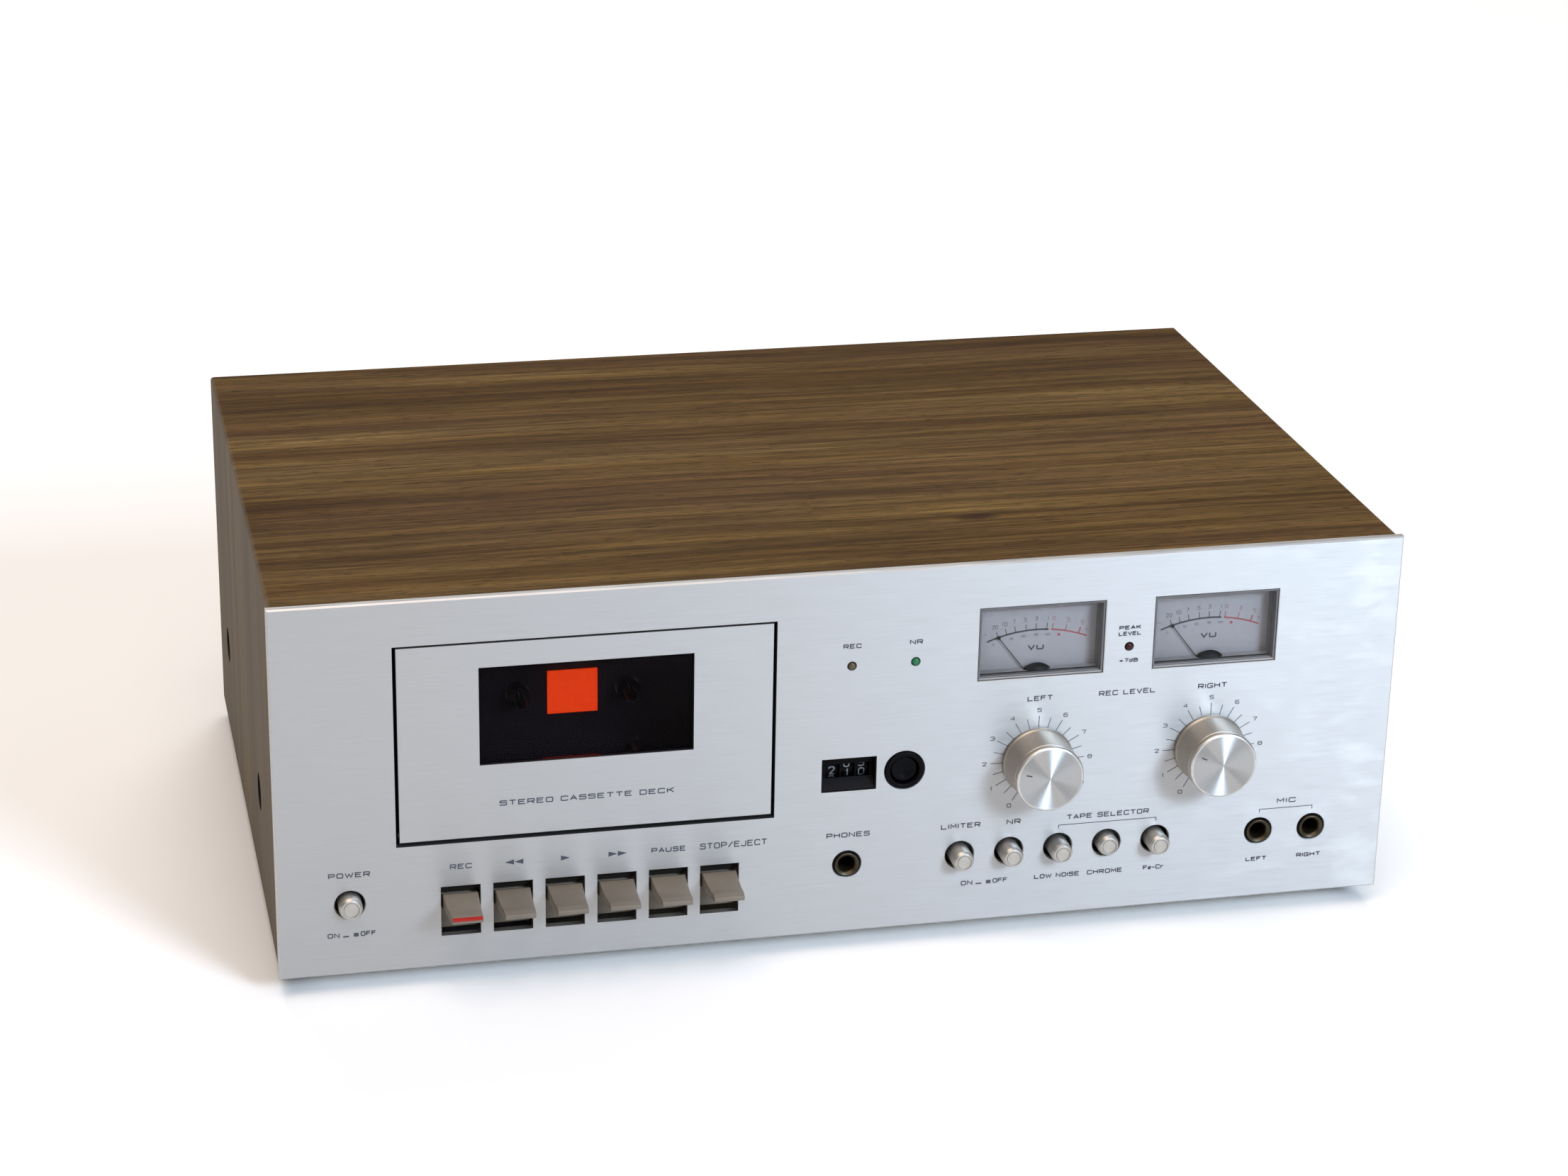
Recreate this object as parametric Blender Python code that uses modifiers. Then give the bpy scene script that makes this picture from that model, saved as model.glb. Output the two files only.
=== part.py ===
"""Front-loading stereo cassette deck, built as the real one is: a brushed panel and a wood-finish
cabinet round a steel tray, a tape mechanism behind a hinged door, and separate keys, buttons, knobs,
meters and sockets. Run it with: blender --background --python part.py

Lengths below are in millimetres in the deck's own measures: x from the middle of the front panel,
depth back from the panel's front face, and height up from the panel's lower edge. world() turns them
into metres, with the origin under the middle of the deck, at the soles of its feet.
"""

import math

import bmesh
import bpy
from mathutils import Matrix, Vector

MM = 0.001

# Overall size
PANEL_WIDTH = 440.0
PANEL_HEIGHT = 150.6
PANEL_THICKNESS = 3.0
CABINET_DEPTH = 276.5
CABINET_INSET = 0.8
BOARD = 11.0
FOOT_HEIGHT = 8.0
KEY_PROUD = 19.5
GAP = 0.3
CUT_PAST = 5.0
PANEL_CHAMFER = 0.8
CABINET_ROUND = 1.0
TRAY_CLEARANCE = 0.4
SHEET = 1.5

# Cassette compartment
DOOR_HOLE_X = (-174.5, -29.3)
DOOR_HOLE_Z = (51.5, 132.7)
DOOR_SIDE_GAP = 1.2
DOOR_TOP_GAP = 0.6
DOOR_THICKNESS = 2.0
WINDOW_X = (-142.5, -61.1)
WINDOW_Z = (82.8, 122.2)
HINGE_DEPTH = 3.5
HINGE_Z = 54.9
HINGE_PIN_R = 0.75
HINGE_PIN_X = (-173.4, -30.4)
HINGE_EYE_R = 1.4
HINGE_EYE_BORE_R = 1.05
HINGE_POSTS_X = ((-173.0, -170.0), (-33.8, -30.8))
HINGE_POST_BACK = 9.0
WINDOW_FLANGE = (5.0, 4.0)
REFLECTOR_SIZE = (19.4, 0.8, 17.6)
REFLECTOR_DROP = 9.2
TAPE_X = -101.8
TAPE_Z = 61.2
TAPE_SIZE = (101.2, 12.6, 62.8)
TAPE_DEPTH = 12.3
HUB_SPACING = 42.5
HUB_Z = 96.2
CAPSTAN_X = -78.3
CAPSTAN_Z = 72.5
CAPSTAN_R = 1.2
HEAD_TRAVEL = 5.0
ROLLER_R = 6.4
ROLLER_Z = CAPSTAN_Z - CAPSTAN_R - ROLLER_R - HEAD_TRAVEL - GAP
WELL_X = (-177.5, -26.3)
WELL_Z = (49.5, 136.2)
WELL_BACK = 36.0
WELL_WALL = 1.5
SPINDLE_HOLE_R = 4.0
CAPSTAN_HOLE_R = 2.2
HEAD_PLATE_X = (-141.0, -64.0)
HEAD_PLATE_DEPTH = (30.8, 32.3)
HEAD_PLATE_Z = (51.7, 65.0)
HEAD_SIZE = (12.4, 11.9, 8.2)
HEAD_FRONT = 18.5
HEAD_Z = 52.2

# Transport keys
KEY_NAMES = ("record", "rewind", "play", "fast_forward", "pause", "stop_eject")
KEY_FIRST_X = -150.5
KEY_PITCH = 20.02
KEY_SLOT = (15.1, 12.9, 33.5)
KEY_TAB_WIDTH = 11.6
KEY_SKIRT_WIDTH = 14.0
KEY_SKIRT_DEPTH = (5.0, 7.4)
KEY_SKIRT_Z = (14.0, 28.4)
KEY_TAB_BACK = 7.5
KEY_ARM = (8.0, 8.0)
KEY_EYE_R = 5.0
KEY_PIVOT = (62.0, 22.0)
KEY_ROD_R = 2.0
KEY_ROD_PAST = 14.0

# Push buttons
BUTTON_HOLE_R = 5.75
BUTTON_Z = 29.1
BUTTON_R = 4.25
BUTTON_OUT = 7.4
BUTTON_IN = 3.9
BUTTON_FIRST_X = 45.3
BUTTON_PITCH = 20.0
BUTTON_NAMES = ("limiter", "noise_reduction", "low_noise", "chrome", "ferrichrome")
PRESSED = "chrome"
POWER_AT = (-192.5, 29.2)
POWER_R = 4.5
POWER_OUT = 4.7
POWER_STEM = 36.0
BUTTON_STEM = 24.0
BUTTON_STEM_R = 2.0
BUTTON_BACK = 11.0
SWITCH_DEPTH = (19.0, 46.0)
SWITCH_MARGIN = 8.0
SWITCH_BORE_R = 2.6

# Sockets on the front
PHONES_AT = (0.0, 29.1)
MIC_AT = ((168.4, 28.8), (190.5, 28.8))
JACK_HOLE_R = 5.6
JACK_BORE_R = 3.3
JACK_BODY_R = 8.5
JACK_BACK = 26.0

# Counter
COUNTER_X = (-10.8, 10.8)
COUNTER_Z = (60.2, 74.1)
COUNTER_AXIS = (12.8, 66.5)
COUNTER_WHEEL_R = 6.4
COUNTER_WHEELS = (("hundreds", -5.4), ("tens", 0.5), ("units", 6.4))
RESET_AT = (22.0, 67.3)
RESET_HOLE_R = 7.9
RESET_R = 5.3
RESET_BACK = 14.0
COUNTER_WHEEL_HALF = 2.6
COUNTER_AXLE_R = 0.9
COUNTER_FLANGE_X = (-13.5, 31.0)
COUNTER_FLANGE_Z = (57.0, 78.5)
COUNTER_BODY_X = (-12.2, 13.0)
COUNTER_BODY_Z = (57.6, 77.2)
COUNTER_BODY_BACK = 23.0

# Meters, lamps and level controls
METER_X = ((49.9, 100.0), (119.9, 170.2))
METER_Z = (102.2, 132.2)
METER_DIAL_DEPTH = 8.0
NEEDLE_Z = 96.8
NEEDLE_DEPTH = 6.6
NEEDLE_LENGTH = 26.0
NEEDLE_LEAN = math.radians(37.5)
NEEDLE_HALF = 0.2
NEEDLE_HUB = (2.2, 0.5)
METER_CASE = (28.0, 27.0, (91.0, 135.5))
LAMPS = (("record", 0.0), ("noise_reduction", 25.0), ("peak", 110.1))
LAMP_Z = 112.4
LAMP_R = 1.5
KNOB_AT = ((75.2, 67.1), (145.2, 67.1))
KNOB_R = 14.2
KNOB_PROUD = 18.5
CONTROL_NECK_R = 4.6
CONTROL_SHAFT_R = 2.9
CONTROL_SHAFT_PROUD = 13.5
CONTROL_BODY_R = 12.0
CONTROL_BACK = 20.0
SIDES = ("left", "right")

# Drive
FLYWHEEL_R = 26.0
PULLEY_R = 5.0
MOTOR_AT = (-142.0, 84.0)
MOTOR_R = 18.5
MOTOR_SHAFT_R = 1.0
MOTOR_LENGTH = 30.0
DRIVE_DEPTH = (44.0, 52.0)
CAPSTAN_FRONT = 19.0
FLYWHEEL_TAIL = 8.0
BELT_HALF = 2.0
BELT_OFF_WHEEL = (0.6, 1.7)

# Feet, back and board
TRAY_HEIGHT = 14.0
TRAY_VENTS = 8
TRAY_VENT_FIRST_X = 118.0
TRAY_VENT_PITCH = 8.0
TRAY_VENT_DEPTH = (190.0, 232.0)
VENT_WIDTH = 3.0
REAR_VENTS = 14
REAR_VENT_FIRST_X = -40.0
REAR_VENT_PITCH = 9.0
REAR_VENT_Z = (88.0, 118.0)
FOOT_X = 185.0
FOOT_DEPTHS = (("front", 32.0), ("rear", 244.0))
REAR_DEPTH = (264.0, 265.5)
GLAND_AT = (172.0, 30.0)
LINE_JACKS_AT = (-150.0, 40.0)
LINE_JACK_SPACING = 19.0
SIDE_SCREW_DEPTHS = (77.0, 230.0)
SIDE_SCREW_Z = 43.5
SIDE_SCREW_SINK = (7.5, 7.0)
SIDE_SCREW_SHANK_R = 2.6
LINE_JACK_PLATE = (54.0, 40.0)
LINE_JACK_OPENING = (44.0, 30.0)
LINE_JACK_R = 4.15
LINE_JACK_BORE_R = 1.6
LINE_JACK_DEPTH = (8.0, 9.5)
GLAND_R = 6.2
GLAND_BORE_R = 3.5
CORE_X = (118.0, 182.0)
CORE_DEPTH = (196.0, 226.0)
CORE_Z = (2.2, 54.0)
WINDING_X = (130.0, 170.0)
WINDING_DEPTH = (184.0, 238.0)
WINDING_Z = (10.0, 46.0)
MAIN_BOARD = ((-20.0, 200.0), (70.0, 176.0), (12.0, 13.6))

PANEL_Y = KEY_PROUD - (KEY_PROUD + CABINET_DEPTH) / 2

ALUMINIUM = ((0.74, 0.75, 0.77), 0.32, 1.0)
SPUN_ALUMINIUM = ((0.70, 0.68, 0.63), 0.28, 1.0)
WALNUT = ((0.16, 0.09, 0.04), 0.55, 0.0)
STEEL = ((0.55, 0.55, 0.54), 0.40, 1.0)
PAINTED_STEEL = ((0.05, 0.05, 0.05), 0.55, 0.0)
BLACK_PLASTIC = ((0.02, 0.02, 0.022), 0.45, 0.0)
KEY_PLASTIC = ((0.30, 0.27, 0.23), 0.50, 0.0)
SMOKED_ACRYLIC = ((0.015, 0.013, 0.016), 0.08, 0.0)
ORANGE = ((0.85, 0.12, 0.01), 0.60, 0.0)
BUTTON_METAL = ((0.78, 0.76, 0.73), 0.22, 1.0)
BRASS = ((0.62, 0.47, 0.22), 0.30, 1.0)
RUBBER = ((0.03, 0.03, 0.03), 0.80, 0.0)
BOARD_BROWN = ((0.35, 0.22, 0.08), 0.60, 0.0)
RED_LAMP = ((0.25, 0.03, 0.02), 0.25, 0.0)
GREEN_LAMP = ((0.03, 0.22, 0.10), 0.25, 0.0)
NEEDLE_BLACK = ((0.01, 0.01, 0.01), 0.50, 0.0)


def world(x, depth, height):
    """A place in the deck's measures, as a point in metres."""
    return Vector((x, PANEL_Y + depth, FOOT_HEIGHT + height)) * MM


def clear_scene():
    """Start from an empty scene."""
    for obj in list(bpy.data.objects):
        bpy.data.objects.remove(obj, do_unlink=True)


def collection(name):
    """A new collection in the scene."""
    made = bpy.data.collections.new(name)
    bpy.context.scene.collection.children.link(made)
    return made


def material(name, look):
    """A Principled material of the part's colour, roughness and metallic value."""
    colour, roughness, metallic = look
    made = bpy.data.materials.new(name)
    made.use_nodes = True
    shader = made.node_tree.nodes["Principled BSDF"]
    shader.inputs["Base Color"].default_value = (*colour, 1.0)
    shader.inputs["Roughness"].default_value = roughness
    shader.inputs["Metallic"].default_value = metallic
    return made


def box(bm, x, depth, height):
    """Add a box between two values of x, of depth and of height."""
    low = world(x[0], depth[0], height[0])
    high = world(x[1], depth[1], height[1])
    scale = Matrix.Diagonal((*(high - low), 1.0))
    bmesh.ops.create_cube(bm, size=1.0, matrix=Matrix.Translation((low + high) / 2) @ scale)


def disc(bm, at, radius, depth, segments=24):
    """Add a cylinder that lies front to back, at an x and a height."""
    middle = world(at[0], (depth[0] + depth[1]) / 2, at[1])
    turn = Matrix.Rotation(math.pi / 2, 4, "X")
    length = (depth[1] - depth[0]) * MM
    bmesh.ops.create_cone(bm, cap_ends=True, segments=segments, radius1=radius * MM,
                          radius2=radius * MM, depth=length, matrix=Matrix.Translation(middle) @ turn)


def rod(bm, x, at, radius, segments=16):
    """Add a cylinder that lies across the deck, at a depth and a height."""
    middle = world((x[0] + x[1]) / 2, at[0], at[1])
    turn = Matrix.Rotation(math.pi / 2, 4, "Y")
    length = (x[1] - x[0]) * MM
    bmesh.ops.create_cone(bm, cap_ends=True, segments=segments, radius1=radius * MM,
                          radius2=radius * MM, depth=length, matrix=Matrix.Translation(middle) @ turn)


def smooth(obj):
    """Shade round sides smooth and keep the real edges sharp."""
    obj.data.shade_smooth()
    obj.data.set_sharp_from_angle(angle=math.radians(35))


def part(name, bm, look, origin=(0.0, 0.0, 0.0)):
    """Make a named part of a bmesh, with its origin at a place in the deck's measures."""
    start = world(*origin)
    bm.transform(Matrix.Translation(-start))
    mesh = bpy.data.meshes.new(name)
    bm.to_mesh(mesh)
    bm.free()
    obj = bpy.data.objects.new(name, mesh)
    obj.location = start
    mesh.materials.append(material(name, look))
    PARTS.objects.link(obj)
    smooth(obj)
    return obj


def tool(name, bm):
    """Make a cutter, or a piece to be joined, that isn't itself a part."""
    mesh = bpy.data.meshes.new(name)
    bm.to_mesh(mesh)
    bm.free()
    obj = bpy.data.objects.new(name, mesh)
    obj.display_type = "WIRE"
    obj.hide_render = True
    TOOLS.objects.link(obj)
    return obj


def boolean(obj, bm, operation, name):
    """Cut a bmesh from an object, or join it on."""
    mod = obj.modifiers.new(name, "BOOLEAN")
    mod.operation = operation
    mod.solver = "EXACT"
    mod.object = tool(f"{obj.name}_{name}", bm)


def bevel(obj, width, segments=1):
    """Break the edges of an object."""
    mod = obj.modifiers.new("edges", "BEVEL")
    mod.width = width * MM
    mod.segments = segments
    mod.limit_method = "ANGLE"
    mod.angle_limit = math.radians(40)


def turned(name, profile, at, look, segments=24, facing="front"):
    """Turn a profile of (radius, distance) about an axis at a place in the deck's measures.

    Distance is along the way the part faces. The profile runs down the outer side, from the
    facing end to the other, and it starts and ends on the axis unless it is a closed ring.
    """
    mesh = bpy.data.meshes.new(name)
    bm = bmesh.new()
    verts = [bm.verts.new((radius * MM, 0.0, along * MM)) for radius, along in profile]
    for first, second in zip(verts, verts[1:]):
        bm.edges.new((first, second))
    if profile[0][0] > 0:
        bm.edges.new((verts[-1], verts[0]))
    bm.to_mesh(mesh)
    bm.free()
    mesh.materials.append(material(name, look))
    obj = bpy.data.objects.new(name, mesh)
    obj.location = world(*at)
    turn = {"front": (math.pi / 2, 0, 0), "back": (-math.pi / 2, 0, 0),
            "up": (0, 0, 0), "right": (0, math.pi / 2, 0)}
    obj.rotation_euler = turn[facing]
    mod = obj.modifiers.new("turn", "SCREW")
    mod.steps = segments
    mod.render_steps = segments
    mod.use_merge_vertices = True
    mod.merge_threshold = 0.00001
    PARTS.objects.link(obj)
    return obj


def extruded(outlines, thickness, rows, place):
    """The closed bmesh of flat outlines, extruded, turned by a matrix's rows and moved to its place."""
    curve = bpy.data.curves.new("outline", "CURVE")
    curve.dimensions = "2D"
    curve.fill_mode = "BOTH"
    curve.extrude = thickness / 2 * MM
    for outline in outlines:
        spline = curve.splines.new("POLY")
        spline.points.add(len(outline) - 1)
        spline.use_cyclic_u = True
        for point, (across, up) in zip(spline.points, outline):
            point.co = (across * MM, up * MM, 0.0, 1.0)
    obj = bpy.data.objects.new("outline", curve)
    bpy.context.scene.collection.objects.link(obj)
    evaluated = obj.evaluated_get(bpy.context.evaluated_depsgraph_get())
    mesh = bpy.data.meshes.new_from_object(evaluated)
    bm = bmesh.new()
    bm.from_mesh(mesh)
    bmesh.ops.remove_doubles(bm, verts=bm.verts, dist=0.000001)
    bm.transform(Matrix.Translation(place) @ Matrix(rows).to_4x4())
    bmesh.ops.recalc_face_normals(bm, faces=bm.faces)
    bpy.data.objects.remove(obj, do_unlink=True)
    bpy.data.meshes.remove(mesh)
    return bm


def extruded_across(outlines, x):
    """Outlines of (depth, height) points, extruded across the deck between two values of x."""
    rows = ((0, 0, 1), (1, 0, 0), (0, 1, 0))
    return extruded(outlines, x[1] - x[0], rows, world((x[0] + x[1]) / 2, 0.0, 0.0))


def extruded_back(outlines, depth):
    """Outlines of (x, height) points, extruded front to back between two depths."""
    rows = ((1, 0, 0), (0, 0, -1), (0, 1, 0))
    return extruded(outlines, depth[1] - depth[0], rows, world(0.0, (depth[0] + depth[1]) / 2, 0.0))


def key_x(index):
    """The middle of a transport key."""
    return KEY_FIRST_X + index * KEY_PITCH


def front_panel():
    """Brushed aluminium panel with chamfered edges and every cut-out."""
    bm = bmesh.new()
    box(bm, (-PANEL_WIDTH / 2, PANEL_WIDTH / 2), (0.0, PANEL_THICKNESS), (0.0, PANEL_HEIGHT))
    panel = part("front_panel", bm, ALUMINIUM)
    bevel(panel, PANEL_CHAMFER)
    through = (-CUT_PAST, PANEL_THICKNESS + CUT_PAST)
    cut = bmesh.new()
    box(cut, DOOR_HOLE_X, through, DOOR_HOLE_Z)
    box(cut, COUNTER_X, through, COUNTER_Z)
    for window in METER_X:
        box(cut, window, through, METER_Z)
    width, low, high = KEY_SLOT
    for index in range(len(KEY_NAMES)):
        x = key_x(index)
        box(cut, (x - width / 2, x + width / 2), through, (low, high))
    disc(cut, POWER_AT, BUTTON_HOLE_R, through)
    for index in range(len(BUTTON_NAMES)):
        disc(cut, (BUTTON_FIRST_X + index * BUTTON_PITCH, BUTTON_Z), BUTTON_HOLE_R, through)
    for at in (PHONES_AT, *MIC_AT):
        disc(cut, at, JACK_HOLE_R, through)
    disc(cut, RESET_AT, RESET_HOLE_R, through)
    for _, x in LAMPS:
        disc(cut, (x, LAMP_Z), LAMP_R + GAP, through, 16)
    for at in KNOB_AT:
        disc(cut, at, CONTROL_NECK_R + 0.4, through, 24)
    boolean(panel, cut, "DIFFERENCE", "openings")


def wood_cabinet():
    """Wood-finish board over the top and both sides, with sunk screw holes in the sides."""
    half = PANEL_WIDTH / 2 - CABINET_INSET
    top = PANEL_HEIGHT - CABINET_INSET
    front = PANEL_THICKNESS + GAP
    bm = bmesh.new()
    box(bm, (-half, half), (front, CABINET_DEPTH), (0.0, top))
    cabinet = part("wood_cabinet", bm, WALNUT)
    bevel(cabinet, CABINET_ROUND, 2)
    inside = bmesh.new()
    box(inside, (-half + BOARD, half - BOARD), (front - CUT_PAST, CABINET_DEPTH + CUT_PAST),
        (-CUT_PAST, top - BOARD))
    boolean(cabinet, inside, "DIFFERENCE", "inside")
    sink_r, sink = SIDE_SCREW_SINK
    holes = bmesh.new()
    shanks = bmesh.new()
    for side in (-1, 1):
        for depth in SIDE_SCREW_DEPTHS:
            sunk = sorted((side * (half + CUT_PAST), side * (half - sink)))
            rod(holes, sunk, (depth, SIDE_SCREW_Z), sink_r)
            through = sorted((side * (half - sink + 2.0), side * (half - BOARD - CUT_PAST)))
            rod(shanks, through, (depth, SIDE_SCREW_Z), SIDE_SCREW_SHANK_R)
    boolean(cabinet, holes, "DIFFERENCE", "counterbores")
    boolean(cabinet, shanks, "DIFFERENCE", "shanks")


def inner_half():
    """Half the width of what fits between the cabinet's side boards."""
    return PANEL_WIDTH / 2 - CABINET_INSET - BOARD - TRAY_CLEARANCE


def chassis_tray():
    """Steel tray with turned-up sides and vent slots under the transformer."""
    half = inner_half()
    bm = bmesh.new()
    box(bm, (-half, half), (PANEL_THICKNESS + 0.5, REAR_DEPTH[0] - GAP), (GAP, TRAY_HEIGHT))
    tray = part("chassis_tray", bm, STEEL)
    cut = bmesh.new()
    box(cut, (-half + SHEET, half - SHEET), (-CUT_PAST, CABINET_DEPTH + CUT_PAST),
        (GAP + SHEET, TRAY_HEIGHT + CUT_PAST))
    boolean(tray, cut, "DIFFERENCE", "inside")
    vents = bmesh.new()
    for index in range(TRAY_VENTS):
        x = TRAY_VENT_FIRST_X + index * TRAY_VENT_PITCH
        box(vents, (x, x + VENT_WIDTH), TRAY_VENT_DEPTH, (-CUT_PAST, CUT_PAST))
    boolean(tray, vents, "DIFFERENCE", "vents")


def feet():
    """Four black plastic feet, each with a sunk middle for its screw."""
    top = FOOT_HEIGHT - GAP
    sole_r, top_r = 10.0, 11.0
    sink_r, sink = 5.0, 4.0
    profile = ((0.0, top), (top_r, top), (sole_r, 0.0), (sink_r, 0.0), (sink_r, sink), (0.0, sink))
    for place, depth in FOOT_DEPTHS:
        for side, x in (("left", -FOOT_X), ("right", FOOT_X)):
            turned(f"foot_{place}_{side}", profile, (x, depth, -FOOT_HEIGHT), RUBBER, 20, "up")


def rear_panel():
    """Painted steel back with openings for the sockets and the cord gland."""
    half = inner_half()
    bm = bmesh.new()
    box(bm, (-half, half), REAR_DEPTH, (GAP, PANEL_HEIGHT - CABINET_INSET - BOARD - TRAY_CLEARANCE))
    panel = part("rear_panel", bm, PAINTED_STEEL)
    through = (REAR_DEPTH[0] - CUT_PAST, REAR_DEPTH[1] + CUT_PAST)
    x, z = LINE_JACKS_AT
    width, height = LINE_JACK_OPENING
    cut = bmesh.new()
    box(cut, (x - width / 2, x + width / 2), through, (z - height / 2, z + height / 2))
    disc(cut, GLAND_AT, GLAND_R + 0.4, through, 24)
    for index in range(REAR_VENTS):
        start = REAR_VENT_FIRST_X + index * REAR_VENT_PITCH
        box(cut, (start, start + VENT_WIDTH), through, REAR_VENT_Z)
    boolean(panel, cut, "DIFFERENCE", "openings")


def line_jack_plate():
    """Insulating plate with the four line sockets on the back."""
    x, z = LINE_JACKS_AT
    width, height = LINE_JACK_PLATE
    front = REAR_DEPTH[1] + GAP
    inside, outside = LINE_JACK_DEPTH
    bm = bmesh.new()
    box(bm, (x - width / 2, x + width / 2), (front, front + SHEET), (z - height / 2, z + height / 2))
    jacks = part("line_jack_plate", bm, BLACK_PLASTIC)
    barrels = bmesh.new()
    bores = bmesh.new()
    for column in (-0.5, 0.5):
        for row in (-0.5, 0.5):
            at = (x + column * LINE_JACK_SPACING, z + row * LINE_JACK_SPACING)
            disc(barrels, at, LINE_JACK_R, (front - inside, front + outside), 16)
            disc(bores, at, LINE_JACK_BORE_R, (front - 2.0, front + outside + CUT_PAST), 8)
    boolean(jacks, barrels, "UNION", "barrels")
    boolean(jacks, bores, "DIFFERENCE", "bores")


def mains_cord_gland():
    """Bush that the mains cord would pass through."""
    proud, inside = 3.0, 7.0
    flange_r, rim_r = 9.0, 7.5
    profile = (
        (GLAND_BORE_R, proud), (rim_r, proud), (flange_r, GAP), (GLAND_R, GAP),
        (GLAND_R, -inside), (GLAND_BORE_R, -inside),
    )
    turned("mains_cord_gland", profile, (GLAND_AT[0], REAR_DEPTH[1], GLAND_AT[1]), BLACK_PLASTIC, 20, "back")


def hub_xs():
    """The x of the supply spindle and of the take-up spindle."""
    return TAPE_X - HUB_SPACING / 2, TAPE_X + HUB_SPACING / 2


def mechanism_plate():
    """Black well behind the door, with eyes for the hinge pin and holes for the spindles."""
    bm = bmesh.new()
    box(bm, WELL_X, (PANEL_THICKNESS + 0.4, WELL_BACK), WELL_Z)
    well = part("mechanism_plate", bm, PAINTED_STEEL)
    inside = bmesh.new()
    box(inside, (WELL_X[0] + WELL_WALL, WELL_X[1] - WELL_WALL), (-CUT_PAST, WELL_BACK - WELL_WALL),
        (WELL_Z[0] + WELL_WALL, WELL_Z[1] - WELL_WALL))
    boolean(well, inside, "DIFFERENCE", "inside")
    posts = bmesh.new()
    eyes = bmesh.new()
    bores = bmesh.new()
    undercut = bmesh.new()
    for x in HINGE_POSTS_X:
        box(posts, x, (HINGE_DEPTH, HINGE_POST_BACK), (WELL_Z[0] + 0.5, HINGE_Z + HINGE_EYE_R))
        rod(eyes, (x[0] - 0.1, x[1] + 0.1), (HINGE_DEPTH, HINGE_Z), HINGE_EYE_R)
        rod(bores, (x[0] - 1, x[1] + 1), (HINGE_DEPTH, HINGE_Z), HINGE_EYE_BORE_R)
        box(undercut, (x[0] - 2.5, x[1] + 2.5), (-1.0, 5.4), (WELL_Z[0] + 0.5, HINGE_Z - 1.3))
    boolean(well, posts, "UNION", "posts")
    boolean(well, eyes, "UNION", "eyes")
    boolean(well, undercut, "DIFFERENCE", "undercut")
    boolean(well, bores, "DIFFERENCE", "pin_bores")
    holes = bmesh.new()
    through = (WELL_BACK - CUT_PAST, WELL_BACK + CUT_PAST)
    for x in hub_xs():
        disc(holes, (x, HUB_Z), SPINDLE_HOLE_R, through, 20)
    disc(holes, (CAPSTAN_X, CAPSTAN_Z), CAPSTAN_HOLE_R, through, 16)
    boolean(well, holes, "DIFFERENCE", "shafts")


def door_hinge_pin():
    """Long pin at the foot of the door."""
    bm = bmesh.new()
    rod(bm, HINGE_PIN_X, (HINGE_DEPTH, HINGE_Z), HINGE_PIN_R)
    part("door_hinge_pin", bm, STEEL, (TAPE_X, HINGE_DEPTH, HINGE_Z))


def tape_reflector():
    """Orange card on the back of the well that shows through the cassette's window."""
    width, thick, height = REFLECTOR_SIZE
    back = WELL_BACK - WELL_WALL - GAP
    low = HUB_Z - REFLECTOR_DROP
    bm = bmesh.new()
    box(bm, (TAPE_X - width / 2, TAPE_X + width / 2), (back - thick, back), (low, low + height))
    part("tape_reflector", bm, ORANGE)


def cassette_door():
    """Door plate with the window hole, its origin on the hinge."""
    x = (DOOR_HOLE_X[0] + DOOR_SIDE_GAP, DOOR_HOLE_X[1] - DOOR_SIDE_GAP)
    z = (DOOR_HOLE_Z[0] + DOOR_SIDE_GAP, DOOR_HOLE_Z[1] - DOOR_TOP_GAP)
    bm = bmesh.new()
    box(bm, x, (0.0, DOOR_THICKNESS), z)
    door = part("cassette_door", bm, ALUMINIUM, (TAPE_X, HINGE_DEPTH, HINGE_Z))
    bevel(door, 0.6)
    cut = bmesh.new()
    box(cut, WINDOW_X, (-CUT_PAST, CUT_PAST), WINDOW_Z)
    boolean(door, cut, "DIFFERENCE", "window")


def door_window():
    """Smoked window set in the door, with a flange behind it."""
    wide, high = WINDOW_FLANGE
    flange = (DOOR_THICKNESS + GAP, DOOR_THICKNESS + 2.0)
    bm = bmesh.new()
    box(bm, (WINDOW_X[0] - wide, WINDOW_X[1] + wide), flange, (WINDOW_Z[0] - high, WINDOW_Z[1] + high))
    window = part("door_window", bm, SMOKED_ACRYLIC, (TAPE_X, HINGE_DEPTH, HINGE_Z))
    face = bmesh.new()
    box(face, (WINDOW_X[0] + GAP, WINDOW_X[1] - GAP), (GAP, DOOR_THICKNESS + 1.0),
        (WINDOW_Z[0] + GAP, WINDOW_Z[1] - GAP))
    boolean(window, face, "UNION", "face")


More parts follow.
